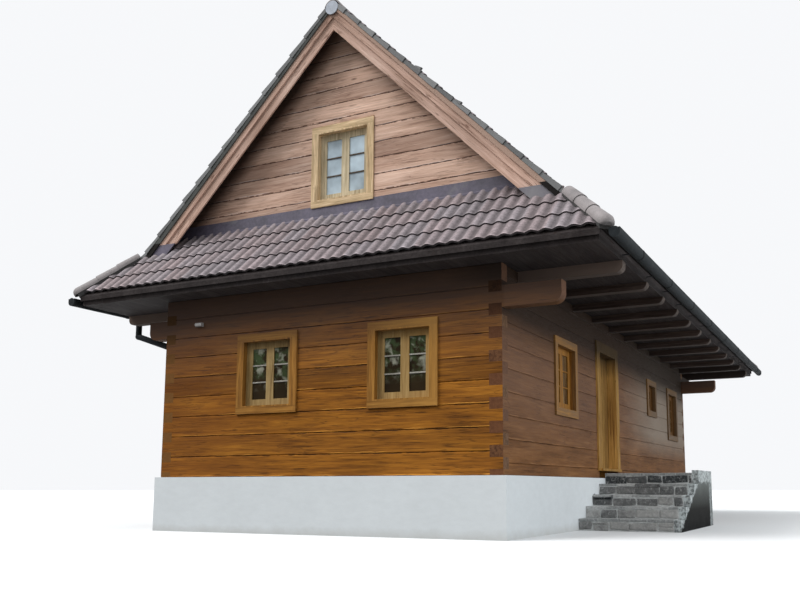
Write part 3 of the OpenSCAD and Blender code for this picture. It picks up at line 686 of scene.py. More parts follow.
# Tones from dark to light; a fourth tone of sawn ends is that of single redder ones
HONEY = toned([(0.06, 0.026, 0.012), (0.15, 0.064, 0.024), (0.235, 0.105, 0.034), (0.33, 0.16, 0.052)],
              (1.68, 1.42, 0.52))
BROWN = toned([(0.07, 0.035, 0.02), (0.145, 0.075, 0.042), (0.205, 0.11, 0.062), (0.27, 0.155, 0.09)],
              (1, 0.86, 0.6))
CRACK = (0.022, 0.009, 0.005)
SIDE_ENDS = [(0.055, 0.024, 0.012), (0.115, 0.05, 0.024), (0.17, 0.078, 0.034), (0.14, 0.054, 0.024)]
FRONT_ENDS = [(0.08, 0.045, 0.025), (0.13, 0.072, 0.04), (0.18, 0.1, 0.06), (0.12, 0.06, 0.04)]
TAN = toned([(0.2, 0.115, 0.082), (0.34, 0.215, 0.155), (0.42, 0.28, 0.21), (0.5, 0.36, 0.28)],
            (1.8, 1.84, 1.9))
BARGE = toned([(0.24, 0.15, 0.115), (0.36, 0.245, 0.19), (0.45, 0.32, 0.26), (0.52, 0.4, 0.33)],
              (1.42, 1.35, 1.34))
OAK_DARK = (0.07, 0.035, 0.015)
OAK = toned([(0.12, 0.066, 0.02), (0.2, 0.115, 0.036), (0.28, 0.17, 0.06), (0.36, 0.235, 0.09)],
            (1.1, 0.82, 0.45))
CREAM = toned([(0.18, 0.125, 0.06), (0.27, 0.2, 0.1), (0.34, 0.26, 0.14), (0.42, 0.34, 0.2)],
              (1, 0.88, 0.68))
GABLE_OAK = toned([(0.22, 0.15, 0.08), (0.34, 0.25, 0.14), (0.44, 0.33, 0.2), (0.54, 0.43, 0.27)],
                  (1.6, 1.55, 1.55))
GABLE_CREAM = toned([(0.26, 0.2, 0.12), (0.38, 0.31, 0.2), (0.48, 0.4, 0.27), (0.56, 0.48, 0.34)],
                    (1.25, 1.25, 1.25))
# Soffit and beam wood: dark brown, darkened further as painted shade under the eaves
SOFFIT = [(0.013, 0.01, 0.01), (0.025, 0.02, 0.0195), (0.04, 0.033, 0.032), (0.062, 0.052, 0.051)]
BEAM = [(0.024, 0.016, 0.013), (0.05, 0.034, 0.028), (0.08, 0.056, 0.047), (0.12, 0.088, 0.075)]
BEAM_ENDS = [(0.07, 0.055, 0.048), (0.12, 0.095, 0.083), (0.16, 0.13, 0.11)]
DOOR = toned([(0.14, 0.066, 0.018), (0.26, 0.14, 0.04), (0.36, 0.21, 0.065), (0.46, 0.29, 0.1)],
             (0.99, 0.96, 0.9))
DOOR_DARK = (0.05, 0.02, 0.008)
PALE_BAR = [(0.22, 0.2, 0.16), (0.3, 0.28, 0.24), (0.38, 0.36, 0.32), (0.46, 0.44, 0.4)]
DARK_BAR = [(0.05, 0.04, 0.03), (0.09, 0.07, 0.05), (0.13, 0.1, 0.08), (0.17, 0.14, 0.11)]
# Tones of the vertical dark and gold stripes on the side window's glass
STRIPED_PANE = [(0.02, 0.01, 0.004), (0.07, 0.036, 0.014), (0.16, 0.09, 0.035), (0.3, 0.19, 0.08)]
RISER_STONE = [(0.016, 0.02, 0.023), (0.06, 0.066, 0.068), (0.185, 0.185, 0.182), (0.44, 0.43, 0.415)]
TREAD_STONE = [(0.2, 0.21, 0.21), (0.36, 0.365, 0.36), (0.52, 0.52, 0.51), (0.68, 0.68, 0.67)]
# The stair's side from foot to top: near black at the foot as painted shade, paler upwards
EDGING = [(0.004, 0.004, 0.004), (0.016, 0.016, 0.015), (0.085, 0.09, 0.085), (0.2, 0.215, 0.207)]
TILE_TONE = (0.224, 0.186, 0.19)
VERGE_TONE = (0.4, 0.27, 0.21)

timber("hewn_logs_front", 0, HONEY, CRACK, (2, LOG_HIGH, WALL_BOTTOM, 1), streaks=0.75,
       joints=(0.85, 0.035, 3.5, 0.44, 0.4), ends=(0, FRONT_ENDS), shades=[
        (0, -0.6, -2.2, 0.45, (0.15, 0.048, 0.01)),
        # Painted shade under the eave, darkest at the top of the wall
        (2, 2.03, 3.08, 0.93, (0.052, 0.034, 0.028)),
        # Painted shade at the top of the wall near the right corner
        (0, 2, 2.6, 0.7, (0.018, 0.013, 0.011), (2, 3.15, 3.25)),
        # Painted light on the log stub past the corner, out of the painted shade
        (0, 2.76, 2.8, 0.18, (0.16, 0.095, 0.07))])
timber("hewn_logs_side", 1, BROWN, CRACK, (2, LOG_HIGH, WALL_BOTTOM - LOG_HIGH / 2, 0), streaks=0.3,
       joints=(0.6, 0.03, 1.6, 0.52, 0.3), vary=(0.92, 1.08),
       # The sawn ends get painted shade upwards from 2.35 m
       ends=(1, SIDE_ENDS, (0.85, (0.17, 0.075, 0.018)), (2.35, 2.95, 0.25)), shades=[
        (2, 1, 1.9, 0.45, (0.165, 0.1, 0.074)),
        (1, 0, 2.6, 0.76, (0.31, 0.26, 0.21), (2, 1.2, 1.7), (0, 0, 0.1)),
        # Painted shade under the eave at the top of the wall
        (2, 2.4, 2.88, 0.93, (0.018, 0.0115, 0.0082))])
timber("gable_boards", 0, TAN, (0.13, 0.06, 0.04), (2, BOARD_HIGH, BOARDS_FROM, 1), knots=0.7,
       streaks=0.35, joints=(0.8, 0.05, 11, 0.44, 0.25), vary=(0.9, 1.1),
       roof_shadow=(7.28, 7.64, 0.92, (0.045, 0.027, 0.02)))
# Painted light on the undersides and on the front beam, and painted shade on the rear beams
timber("ceiling_beams", 0, BEAM, CRACK, under=(0.8, (0.1, 0.082, 0.074)), ends=(0, BEAM_ENDS), shades=[
    (1, -4.9, -5, 0.75, (0.24, 0.175, 0.145)), (1, 5.2, 5.3, 0.8, (0.03, 0.023, 0.02))])
timber("barge_boards", 0, BARGE, (0.16, 0.08, 0.055), knots=0.8, cracks=0.8, streaks=0.5, sloping=True)
timber("floor_boards", 1, OAK, CRACK)
joinery_look("oiled_oak", OAK, CREAM, OAK_DARK, [
    # Painted shade under the eave on the heads of the front windows
    (2, 2.56, 2.86, 0.7, OAK_DARK, (1, -5.5, -5.6)),
    (0, 0.9, 1.9, 0.36, (0.54, 0.28, 0.065), (1, -5.5, -5.6)),
    (1, 1.5, 2.3, 0.75, OAK_DARK, (0, 2.5, 2.51)),
    (0, 2.75, 2.79, 0.3, (0.15, 0.12, 0.08))])
joinery_look("gable_oak", GABLE_OAK, GABLE_CREAM, (0.14, 0.08, 0.04))
# Painted shade at the head, and painted light on the jambs' inner faces
timber("door_frame_oak", 2, DOOR, DOOR_DARK, knots=0.4, streaks=0.8, grain=34,
       shades=[(2, 2.55, 2.9, 0.93, (0.03, 0.02, 0.011))], lift=(1, 1.9))
timber("door_boards", 2, DOOR, DOOR_DARK, (1, 0.112, -1.517, 0), knots=0.4, streaks=0.6,
       joints=(0.9, 0.06, 1, 0.44, 0), grain=34,
       # Painted shade at the top of the leaf
       shades=[(2, 2.5, 2.88, 0.93, (0.03, 0.02, 0.01))])
timber("bar_wood", 2, PALE_BAR, (0.2, 0.14, 0.08), knots=0, cracks=0.2, grain=40)
timber("dark_bar_wood", 2, DARK_BAR, (0.04, 0.03, 0.02), knots=0, cracks=0.2, grain=40)
tile_look("roof_tiles_side", 1)
tile_look("roof_tiles_front", 0)
# Dark soffit tones: painted shade under the eaves, and in the gaps between the gable boards
for name, along in (("gable_joint_wood", 0), ("soffit_boards", 1), ("rafters", 2), ("roof_deck", 1)):
    timber(name, along, SOFFIT, CRACK)
# under is painted shade on the caps' noses, which look down
plain_look("cap_tiles", (0.236, 0.21, 0.208), 0.26, 5, 55, stain=((0.12, 0.12, 0.11), 0.4),
           vary=(0.85, 1.15), under=0.35)
plain_look("cap_discs", (0.39, 0.42, 0.475), 0.22, 14, 120, stain=((0.17, 0.175, 0.19), 0.5))
# under is painted shade on the flaps' faces that look down
plain_look("verge_flaps", (0.13, 0.13, 0.13), 0.25, 5, 120, stain=((0.07, 0.085, 0.065), 0.6),
           vary=(0.65, 1.35), under=0.3)
timber("verge_deck", 1, SOFFIT, CRACK, shades=[
    (1, -5.44, -5.45, 1, VERGE_TONE, (0, 0, 0.01)),
    (1, 5.94, 5.95, 1, VERGE_TONE, (0, 0, 0.01)),
    (1, -5.44, -5.45, 0.9, (0.085, 0.088, 0.082), (0, 0, -0.01)),
    # Near black below 4.47 m as painted shade under the verge
    (2, 4.48, 4.47, 1, (0.012, 0.01, 0.009))])
# Near-black bed under the hip caps: the painted shadow along them
plain_look("hip_bed_shadow", (0.045, 0.043, 0.042), 0.3, 12, 120, (0.8, 0.95), 0.003)
plain_look("gutter_sleeves", (0.009, 0.01, 0.011), 0.3, 12, 60, specular=0.06)
plain_look("gutter_metal", (0.02, 0.023, 0.025), 0.35, 9, 60, bump=0.003,
           stain=((0.045, 0.05, 0.05), 0.6), specular=0.06)
plain_look("flashing", (0.088, 0.076, 0.106), 0.4, 2.2, 20, (0.45, 0.6), 0.0012,
           stain=((0.2, 0.195, 0.19), 0.9), shades=[(0, 2.8, 3, 0.6, (0.2, 0.19, 0.2))],
           specular=0.4)
plain_look("handle_metal", (0.04, 0.036, 0.034), 0.25, 20, 200, (0.3, 0.5), 0.0004, metallic=0.8)
plain_look("lamp_cover", (0.36, 0.34, 0.33), 0.1, 20, 200, (0.3, 0.45), 0.0004)
render_look("white_render", (0.68, 0.71, 0.725), 0.16, (0.4, 0.38, 0.34), 0.5)
edging_look("stair_edging")
plain_look("stair_mortar", (0.58, 0.59, 0.58), 0.3, 14, 160, (0.8, 0.95), 0.004,
           stain=((0.22, 0.22, 0.21), 0.6))
stone_look("stair_stones", RISER_STONE, (0.56, 0.56, 0.55), 0.8)
stone_look("tread_stones", TREAD_STONE, (0.7, 0.7, 0.69), 0.4)
# Painted shade of a dark room, with painted reflections of trees on the upper panes
glass_look("window_glass", (0.024, 0.015, 0.006), 0.06, 0.05, (1.98, 2.35))
timber("side_window_glass", 2, STRIPED_PANE, (0.02, 0.01, 0.005), rough=(0.2, 0.35),
       knots=0, cracks=0, streaks=0.8, grain=24)
# Pale blue-grey as a painted reflection of the sky
glass_look("gable_glass", (0.47, 0.565, 0.63), 0.1, 0.3)

NODE_LOOKS = {
    "white_render": "plinth",
    "floor_boards": "ground_floor",
    "hewn_logs_front": "front_wall rear_wall",
    "hewn_logs_side": "left_wall right_wall_front right_wall_rear right_wall_over_door",
    "gable_joint_wood": "front_gable_wall rear_gable_wall",
    "ceiling_beams": "ceiling_beams",
    "soffit_boards": "attic_floor",
    "roof_deck": "eave_boards roof_left roof_right front_skirt_roof rear_skirt_roof",
    "rafters": "rafters",
    "cap_tiles": "ridge_tiles hip_tiles",
    "cap_discs": "ridge_end_discs",
    "barge_boards": "front_barge_boards rear_barge_boards",
    "gutter_metal": "left_gutter right_gutter downpipe",
    "flashing": "roof_flashings",
    "oiled_oak": "front_window_frames right_window_frames left_window_frames rear_window_frames",
    "gable_oak": "gable_window_frame",
    "door_frame_oak": "door_frame",
    "window_glass": "front_window_glass left_window_glass rear_window_glass",
    "side_window_glass": "right_window_glass",
    "gable_glass": "gable_window_glass",
    "handle_metal": "door_hinge_pins door_fittings",
    "door_boards": "door_leaf",
    "stair_mortar": "stair_steps stair_landing",
    "stair_edging": "stair_side_wall",
    "lamp_cover": "wall_lamp",
}


def dress_nodes():
    """Gives every CAD node its material."""
    for look, names in NODE_LOOKS.items():
        for name in names.split():
            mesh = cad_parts[name].data
            mesh.materials.clear()
            mesh.materials.append(LOOKS[look])


# Roof
def slope_ways(x, y):
    """The ways up and out of a roof slope that faces along x or y."""
    return (Vector((-x * ROOT_HALF, -y * ROOT_HALF, ROOT_HALF)),
            Vector((x * ROOT_HALF, y * ROOT_HALF, ROOT_HALF)))


def wave_height(along):
    """Height of a tile over the roof's plane: a round roll and a flat pan."""
    turn = math.cos(2 * math.pi * along / WAVE)
    roll = (0.5 + 0.5 * turn) ** 0.8
    return WAVE_LOW + (WAVE_HIGH - WAVE_LOW) * roll


def tile_field(origin, along, facing, span, slope, cuts, lifts):
    """Courses of waved tiles on one plane, from its eave up, clipped by planes. lifts gives how far
    they are packed up over the plane at the eave and at the top of the slope."""
    up, out = slope_ways(*facing)
    bm = bmesh.new()
    edge = number_layer(bm, "edge")
    row = number_layer(bm, "row")
    step = WAVE / WAVE_STEPS
    first, last = math.floor(span[0] / step) - 1, math.ceil(span[1] / step) + 1
    places = [index * step for index in range(first, last + 1)]
    courses = max(1, round(slope / COURSE))
    for course in range(courses):
        low = course * COURSE
        high = low + COURSE + OVERLAP if course < courses - 1 else max(slope, low + COURSE)
        # The painted highlight on the noses is twice as strong at the eave
        highlight_share = 1 if course else 2
        profile = [(low + run, rise, highlight_share * mark) for run, rise, mark in TILE_PROFILE]
        rows = []
        for distance, rise, mark in (*profile, (high, TILE_HEAD, 0)):
            lift = lifts[0] + (lifts[1] - lifts[0]) * min(1, distance / slope)
            line = []
            for place in places:
                point = origin + along * place + up * distance + out * (wave_height(place) + rise)
                vert = bm.verts.new(point + Vector((0, 0, lift)))
                vert[edge] = mark
                vert[row] = course
                line.append(vert)
            rows.append(line)
        skin(bm, rows)
    for plane in cuts:
        cut_off(bm, *plane)
    return bm


def side_tiles(side, name):
    """The main part of one long roof plane, and its corner parts beside the skirts."""
    origin = Vector((side * EAVE_X, 0, EAVE_Z))
    top = upright(side * RIDGE_GAP, 0, -side, 0)
    front_hip = upright(side * EAVE_X, EAVE_FRONT, -side, -1)
    rear_hip = upright(side * EAVE_X, EAVE_REAR, -side, 1)
    parts = (
        ("", (VERGE_FRONT, VERGE_REAR), 1,
         [top, upright(0, VERGE_FRONT, 0, -1), upright(0, VERGE_REAR, 0, 1)]),
        ("_front", (EAVE_FRONT, VERGE_FRONT), FRONT_SHARE, [front_hip, upright(0, VERGE_FRONT, 0, 1)]),
        ("_rear", (VERGE_REAR, EAVE_REAR), REAR_SHARE, [rear_hip, upright(0, VERGE_REAR, 0, -1)]),
    )
    for ending, span, share, cuts in parts:
        lifts = (LIFT, LIFT * (1 - share))
        bm = tile_field(origin, Vector((0, 1, 0)), (side, 0), span, SLOPE * share, cuts, lifts)
        link(name + ending, bm, "roof_tiles_side", smooth=40)


def skirt_tiles(end, name):
    """The tiles of the skirt below a gable."""
    eave, _, wall = ENDS[end]
    slope = abs(wall - eave) / ROOT_HALF + SKIRT_TUCK
    cuts = [upright(EAVE_X, eave, 1, -end), upright(-EAVE_X, eave, -1, -end), upright(0, wall, 0, -end)]
    bm = tile_field(Vector((0, eave, EAVE_Z)), Vector((1, 0, 0)), (0, end), (-EAVE_X, EAVE_X), slope,
                    cuts, (SKIRT_LIFT, GABLE_LIFT))
    link(name, bm, "roof_tiles_front", smooth=40)


def decks():
    """The boarding under the tiles: the CAD roofs, with their top brought down."""
    for name in ("roof_left", "roof_right", "front_skirt_roof", "rear_skirt_roof"):
        bm = bmesh.new()
        bm.from_mesh(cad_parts[name].data)
        long_slope = name.startswith("roof")
        eave, _, wall = ENDS[-1 if name.startswith("front") else 1]
        for vert in bm.verts:
            run = EAVE_X - abs(vert.co.x) if long_slope else abs(vert.co.y - eave)
            share = 1 - run / (EAVE_X if long_slope else abs(wall - eave))
            if abs(vert.co.z - EAVE_Z - run) < DECK_NEAR:
                vert.co.z -= DECK_DROP - (DECK_DROP - EAVE_DROP) * share
        look = "verge_deck" if long_slope else "roof_deck"
        link(name + "_deck", bm, look, replaces=[name])


def add_flap(bm, tone, end, origin, side, low, high, top_low, top_high, foot):
    """One flap, a thin box whose lower end stands out more than its upper end."""
    up, out = slope_ways(side, 0)
    layer = number_layer(bm, "tone")
    verts = []
    for distance, top, proud in ((low, top_low, FLAP_PROUD[0]), (high, top_high, FLAP_PROUD[1])):
        for height, face in ((top, 0), (top, 1), (foot, 1), (foot, 0)):
            outward = end * proud if face else -end * FLAP_INSIDE
            lift = Vector((0, outward, LIFT * (1 - distance / SLOPE)))
            vert = bm.verts.new(origin + up * distance + out * height + lift)
            vert[layer] = tone
            verts.append(vert)
    for face in BOX_FACES:
        bm.faces.new([verts[index] for index in face])


def verge_flaps(end, name):
    """The tiles' flaps over a verge, each standing a little over the one below."""
    eave, verge, _ = ENDS[end]
    lowest = abs(verge - eave) / ROOT_HALF
    highest = (EAVE_X - FLAP_TOP) / ROOT_HALF
    last = math.floor((EAVE_X - FLAP_LAST) / ROOT_HALF / COURSE)
    courses = range(math.ceil(lowest / COURSE) - 1, last + 1)
    bm = bmesh.new()
    rng = random.Random(5)
    for side in (-1, 1):
        flaps = []
        for course in courses:
            low = max(course * COURSE - FLAP_FALL, lowest)
            high = min((course + 1) * COURSE + FLAP_OVERLAP, highest)
            slip = rng.uniform(-0.004, 0.01)
            foot = FLAP_FOOT + rng.uniform(-0.008, 0.006)
            flaps.append((low, high, WAVE_HIGH + FLAP_RISE + slip, WAVE_HIGH - FLAP_FALL, foot))
        if end < 0 and side > 0:
            flaps.extend(SLIPPED_FLAPS)
        for flap in flaps:
            add_flap(bm, rng.random(), end, Vector((side * EAVE_X, verge, EAVE_Z)), side, *flap)
    bmesh.ops.recalc_face_normals(bm, faces=bm.faces[:])
    bmesh.ops.bevel(bm, geom=bm.edges[:], offset=0.003, segments=1, affect="EDGES")
    link(name, bm, "verge_flaps")


def cap_run(bm, start, end, ways, radius, pitch, domed=False, spread=100):
    """Overlapping half-round caps with thick noses, the lowest one domed where asked."""
    layer = number_layer(bm, "tone")
    rng = random.Random(9)
    line = end - start
    count = max(1, round(line.length / pitch))
    step = line / count
    for index in range(count):
        tone = rng.random()
        closed = domed and index == 0
        rings = []
        for share, size in (*(CAP_DOME if closed else CAP_NOSE), *CAP_BODY):
            centre = start + step * (index + share)
            ring = arc(bm, centre, ways, range(-spread, spread + 1, 10), radius, size)
            for vert in ring:
                vert[layer] = tone
            rings.append(ring)
        skin(bm, rings)
        if closed:
            bm.faces.new(rings[0])


def ridge_caps():
    """The caps on the ridge."""
    low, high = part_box("ridge_tiles")
    bm = bmesh.new()
    centre = high.z - RIDGE_DROP
    start = Vector((0, low.y + 0.01, centre))
    stop = Vector((0, high.y - 0.01, centre))
    cap_run(bm, start, stop, (Vector((1, 0, 0)), Vector((0, 0, 1))), RIDGE_RADIUS, RIDGE_PITCH)
    link("ridge_caps", bm, "cap_tiles", smooth=35)


def hip_caps():
    """The caps of the four hips, each with a domed one at the eave, and a near-black bed under them that
    paints the shadow along the caps.
    """
    bm = bmesh.new()
    bed_shadow = bmesh.new()
    for end, (eave, verge, _) in ENDS.items():
        run = abs(verge - eave)
        for side in (-1, 1):
            start = Vector((side * (EAVE_X - HIP_INSET), eave - end * HIP_INSET,
                            EAVE_Z + HIP_INSET + LIFT - HIP_DROP))
            stop = Vector((side * (EAVE_X - run - 0.01), verge + end * 0.01,
                           EAVE_Z + run + HIP_TOP - HIP_DROP))
            line = (stop - start).normalized()
            side_way = line.cross(Vector((0, 0, 1))).normalized()
            ways = (side_way, side_way.cross(line).normalized())
            cap_run(bm, start, stop, ways, HIP_RADIUS, HIP_PITCH, domed=True, spread=90)
            # A near-black bed under each hip, as the painted shadow along the caps
            rings = [arc(bed_shadow, point, ways, range(-130, 131, 20), BED_SHADOW_RADIUS)
                     for point in (start - line * 0.02, stop)]
            skin(bed_shadow, rings)
            bed_shadow.faces.new(rings[0])
            bed_shadow.faces.new(rings[1][::-1])
    link("hip_bed_shadow", bed_shadow, "hip_bed_shadow", smooth=35)
    link("hip_caps", bm, "cap_tiles", replaces=["hip_tiles"], smooth=35)


def sleeve_outline(radius):
    """Half round with upright lips, from one rim of a gutter to the other."""
    turns = [math.radians(turn) for turn in range(0, 181, 15)]
    bottom = GUTTER_RIM - GUTTER_LIP
    curve = [(radius * math.cos(turn), bottom - radius * math.sin(turn)) for turn in turns]
    return [(radius, GUTTER_RIM), *curve, (-radius, GUTTER_RIM)]


def gutter_sleeves():
    """Sleeves round the gutters where their lengths join."""
    bm = bmesh.new()
    for side in (-1, 1):
        for place in SLEEVES:
            rows = []
            for along, grow in SLEEVE_PROFILE:
                outline = sleeve_outline(GUTTER_RADIUS + grow)
                rows.append([bm.verts.new((side * (GUTTER_X + x), place + along, z)) for x, z in outline])
            skin(bm, rows)
    link("gutter_sleeves", bm, "gutter_sleeves", smooth=35)


# Windows
def wall_point(wall, along, inward, height):
    """A point on a wall, from its place along it, its depth behind the face, and its height."""
    face, way, axis = WALLS[wall]
    depth = face + way * inward
    return (along, depth, height) if axis else (depth, along, height)


def window_bars(wall):
    """Bars that part each casement into three panes, or a small one into two."""
    bm = bmesh.new()
    clear = LIP + SASH
    for centre, bottom, width, height, casements in WINDOWS[wall]:
        low, high = bottom + clear, bottom + height - clear
        sides = [centre - width / 2 + clear, centre + width / 2 - clear]
        rows = 2
        if casements == 2:
            sides[1:1] = [centre - MEETING / 2, centre + MEETING / 2]
            rows = 3
        for left, right in zip(sides[::2], sides[1::2]):
            for row in range(1, rows):
                level = low + (high - low) * row / rows
                for near, far in BAR_DEPTHS:
                    one = wall_point(wall, left - BAR_TENON, near, level - BAR / 2)
                    two = wall_point(wall, right + BAR_TENON, far, level + BAR / 2)
                    corners = [[pick(pair) for pair in zip(one, two)] for pick in (min, max)]
                    block(bm, *corners, 0.004)
    look = {"gable": "dark_bar_wood", "front": "bar_wood", "rear": "bar_wood"}.get(wall, "oiled_oak")
    link(wall + "_window_bars", bm, look)


# Gable boards
def wavy_edge(rng):
    """How far the edge between two boards strays, point by point."""
    edge = []
    value = 0
    for _ in range(EDGE_POINTS):
        value = value * 0.86 + rng.uniform(-0.006, 0.006)
        edge.append(value)
    return edge


def board_spans(end, half, level, top):
    """The parts of a row of boards round the front gable's window: left, right, foot and head."""
    if end > 0 or top <= HOLE_LOW or level >= HOLE_HIGH:
        return [(-half, half, level, top)]
    spans = [(-half, -HOLE_HALF, level, top), (HOLE_HALF, half, level, top)]
    if level < HOLE_LOW:
        spans.append((-HOLE_HALF, HOLE_HALF, level, HOLE_LOW))
    if top > HOLE_HIGH:
        spans.append((-HOLE_HALF, HOLE_HALF, HOLE_HIGH, top))
    return spans


def gable_boards(end, name):
    """Waney boards laid on a gable, each a little different, cut round its window."""
    foot = BOARD_FEET[end]
    rng = random.Random(11)
    bm = bmesh.new()
    level = BOARDS_FROM
    edge = [0] * EDGE_POINTS
    while level < BOARDS_TO:
        top = level + BOARD_HIGH
        next_edge = wavy_edge(rng)
        half = min(BOARD_REACH, RIDGE - UNDER_ROOF - level) - BOARD_SHORT
        if half > 0.05 and top > foot:
            for span in board_spans(end, half, level, top):
                proud = BOARD_PROUD + rng.uniform(-0.002, 0.002)
                add_board(bm, *span, edge, next_edge, ENDS[end][2], end, proud)
        edge = next_edge
        level = top
    for side in (-1, 1):
        cut_off(bm, Vector((side * (RIDGE - ROOF_CUT), 0, 0)), Vector((side, 0, 1)).normalized())
    cut_off(bm, Vector((0, 0, foot)), Vector((0, 0, -1)))
    bmesh.ops.recalc_face_normals(bm, faces=bm.faces[:])
    link(name, bm, "gable_boards")


def add_board(bm, left, right, level, top, edge, next_edge, face, end, proud):
    """One board with wavy, bevelled long edges."""
    pieces = max(2, round((right - left) / BOARD_LONG))
    columns = []
    for index in range(pieces + 1):
        place = left + (right - left) * index / pieces
        spot = int((place + EDGE_HALF) / (2 * EDGE_HALF) * (EDGE_POINTS - 1))
        spot = min(EDGE_POINTS - 1, max(0, spot))
        low = level + edge[spot] + BOARD_GAP
        high = top + next_edge[spot] - BOARD_GAP
        front = face + end * proud
        column = [
            (face + end * 0.0005, low), (front - end * 0.004, low + 0.001), (front, low + 0.006),
            (front, high - 0.006), (front - end * 0.004, high - 0.001), (face + end * 0.0005, high),
        ]
        columns.append([bm.verts.new((place, depth, height)) for depth, height in column])
    for one, two in zip(columns, columns[1:]):
        for index in range(len(one) - 1):
            bm.faces.new((one[index], two[index], two[index + 1], one[index + 1]))
    bm.faces.new(columns[0])
    bm.faces.new(columns[-1][::-1])


# Door
def door_boards():
    """The leaf's upright boards on a solid core, with ledges inside."""
    low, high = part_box("door_leaf")
    bm = bmesh.new()
    wide = (high.y - low.y) / DOOR_BOARDS
    for index in range(DOOR_BOARDS):
        left = low.y + wide * index
        block(bm, (high.x - DOOR_BOARD_THICK, left + DOOR_JOINT, low.z),
              (high.x, left + wide - DOOR_JOINT, high.z), 0.003)
    block(bm, (low.x + 0.012, low.y + 0.001, low.z + 0.001), (high.x - 0.014, high.y - 0.001, high.z - 0.001))
    for level in (low.z + 0.18, (low.z + high.z) / 2, high.z - 0.32):
        block(bm, (low.x, low.y + LEDGE_INSET, level),
              (low.x + LEDGE_THICK, high.y - LEDGE_INSET, level + LEDGE_HIGH), 0.004)
    link("door_board_leaf", bm, "door_boards", body="door", replaces=["door_leaf"])


# Stair
def stair_stones():
    """Split stones set in the risers, of many widths."""
    rng = random.Random(21)
    bm = bmesh.new()
    for step in range(STEPS):
        face = STAIR_START + TREAD * step
        low, high = RISER * step + STONE_INSET, RISER * (step + 1) - TREAD_THICK
        place = STAIR_LEFT + STONE_INSET
        while place < STAIR_RIGHT - 0.05:
            wide = min(rng.uniform(*STONE_WIDTHS), STAIR_RIGHT - STONE_INSET - place)
            proud = rng.uniform(0.002, 0.012)
            foot, head = low + rng.uniform(0, 0.014), high - rng.uniform(0, 0.016)
            tone = max(0, min(1, STONE_TONES[step] + rng.uniform(-0.3, 0.3)))
            parts = [(foot, head)]
            if wide > 0.2 and rng.random() < 0.2:
                middle = rng.uniform(0.4, 0.6) * (foot + head)
                parts = [(foot, middle - 0.006), (middle + 0.006, head)]
            for bottom, top in parts:
                block(bm, (place, face - proud, bottom), (place + wide, face + 0.01, top), 0.016, tone,
                      rng, 0.014)
                tone = min(1, max(0, tone + rng.uniform(-0.3, 0.3)))
            place += wide + rng.uniform(0.01, 0.022)
    link("stair_riser_stones", bm, "stair_stones")


def stair_treads():
    """The slabs laid on the steps and the landing, with open joints."""
    rng = random.Random(4)
    bm = bmesh.new()
    for step in range(STEPS):
        landing = step == STEPS - 1
        near = STAIR_START + TREAD * step - 0.012
        far = LANDING_END if landing else STAIR_START + TREAD * (step + 1)
        level = RISER * (step + 1)
        rows = 4 if landing else 1
        deep = (far - near) / rows
        for row in range(rows):
            place = STAIR_LEFT + SLAB_INSET
            while place < STAIR_RIGHT - 0.03:
                wide = min(rng.uniform(*SLAB_WIDTHS), STAIR_RIGHT - SLAB_INSET - place)
                if STAIR_RIGHT - SLAB_INSET - place - wide < 0.1:
                    wide = STAIR_RIGHT - SLAB_INSET - place
                front = near + deep * row + rng.uniform(0, 0.008)
                low = (place, front, level - 0.028 - rng.uniform(0, 0.008))
                back = near + deep * (row + 1) - 0.008
                high = (place + wide, back, level + 0.003 + rng.uniform(0, 0.003))
                block(bm, low, high, 0.006, rng.random())
                place += wide + SLAB_JOINT
    link("stair_tread_stones", bm, "tread_stones")


# Stage
def camera():
    """The photo's view."""
    data = bpy.data.cameras.new("view")
    data.sensor_width = 36
    data.lens = 39.115
    data.shift_x = -0.0545
    data.shift_y = 0.0766
    data.clip_end = 400
    eye = add_object("view", data)
    eye.location = CAMERA_PLACE
    eye.rotation_euler = (math.pi / 2 + CAMERA_RISE, 0, CAMERA_TURN)
    bpy.context.scene.camera = eye


def seen(tree):
    """How much of a ray is the camera's, or seen in gloss or through glass."""
    path = add_node(tree, "LightPath").outputs
    share = path["Is Camera Ray"]
    for name in ("Is Glossy Ray", "Is Transmission Ray"):
        share = add_node(tree, "Math", {0: share, 1: path[name]}, operation="MAXIMUM").outputs[0]
    return share


def floor():
    """A floor that looks white and throws little light back."""
    bm = bmesh.new()
    bmesh.ops.create_circle(bm, cap_ends=True, segments=96, radius=FLOOR_RADIUS)
    mesh = bpy.data.meshes.new("stage_floor")
    bm.to_mesh(mesh)
    bm.free()
    ground = add_object("stage_floor", mesh)
    material = bpy.data.materials.new("stage_floor")
    material.use_nodes = True
    tree = material.node_tree
    keys = {0: seen(tree), 6: (0.12, 0.12, 0.115, 1), 7: (0.8, 0.8, 0.8, 1)}
    mix = add_node(tree, "Mix", keys, data_type="RGBA")
    shader = tree.nodes["Principled BSDF"]
    tree.links.new(mix.outputs[2], shader.inputs["Base Color"])
    shader.inputs["Roughness"].default_value = 0.9
    shader.inputs["Specular IOR Level"].default_value = 0.1
    mesh.materials.append(material)


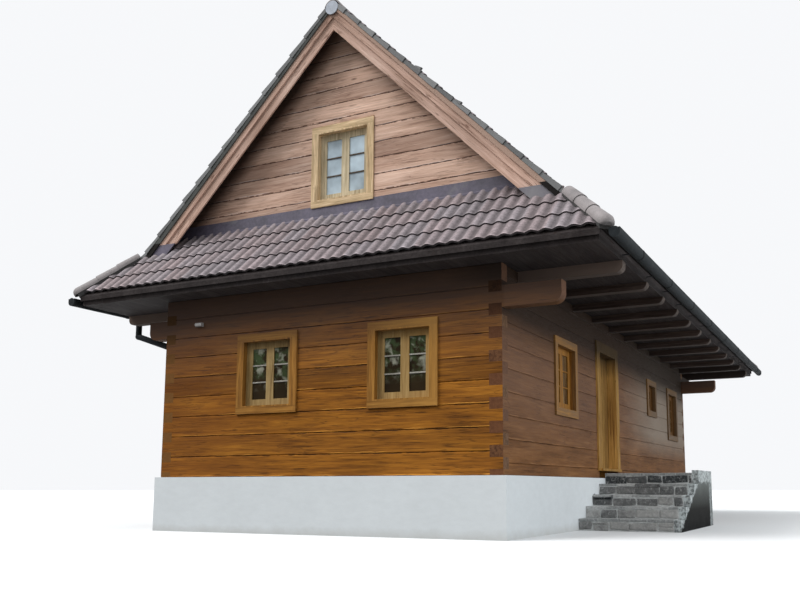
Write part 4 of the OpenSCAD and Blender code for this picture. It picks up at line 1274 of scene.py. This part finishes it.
def sky():
    """Sky light that grows upwards, seen as an even pale tone."""
    world = bpy.data.worlds.new("studio")
    bpy.context.scene.world = world
    world.use_nodes = True
    tree = world.node_tree
    place = add_node(tree, "TexCoord").outputs["Generated"]
    height = add_node(tree, "SeparateXYZ", {0: place}).outputs[2]
    keys = {0: height, 1: -0.05, 2: 1, 3: 0.5, 4: 1.15}
    strength = add_node(tree, "MapRange", keys).outputs[0]
    light = tree.nodes["Background"]
    tree.links.new(strength, light.inputs["Strength"])
    light.inputs["Color"].default_value = (*COOL_LIGHT, 1)
    shown = add_node(tree, "Background", {"Color": (0.93, 0.94, 0.96, 1)})
    keys = {0: seen(tree), 1: light.outputs[0], 2: shown.outputs[0]}
    mixer = add_node(tree, "MixShader", keys)
    tree.links.new(mixer.outputs[0], tree.nodes["World Output"].inputs["Surface"])


def lamps():
    """A wide soft sun from the upper left, and a broad lamp low at the entrance side."""
    sun = bpy.data.lights.new("key", "SUN")
    sun.energy = 2.7
    sun.angle = math.radians(36)
    lamp = add_object("key", sun)
    lamp.rotation_euler = Vector((0.85, 0.75, -1.25)).to_track_quat("-Z", "Y").to_euler()
    side = bpy.data.lights.new("side", "AREA")
    side.energy = 1800
    side.color = COOL_LIGHT
    side.size = 12
    lamp = add_object("side", side)
    lamp.location = (20, -5, 5)
    aim = Vector((0, 0, 2)) - lamp.location
    lamp.rotation_euler = aim.to_track_quat("-Z", "Y").to_euler()


# Making
camera()
floor()
sky()
lamps()
dress_nodes()
decks()
side_tiles(1, "roof_right_tiles")
side_tiles(-1, "roof_left_tiles")
skirt_tiles(-1, "front_skirt_tiles")
skirt_tiles(1, "rear_skirt_tiles")
verge_flaps(-1, "front_verge_flaps")
verge_flaps(1, "rear_verge_flaps")
ridge_caps()
hip_caps()
gutter_sleeves()
for wall in WINDOWS:
    window_bars(wall)
gable_boards(-1, "front_gable_boards")
gable_boards(1, "rear_gable_boards")
door_boards()
stair_stones()
stair_treads()

bpy.context.scene.view_settings.view_transform = "Standard"
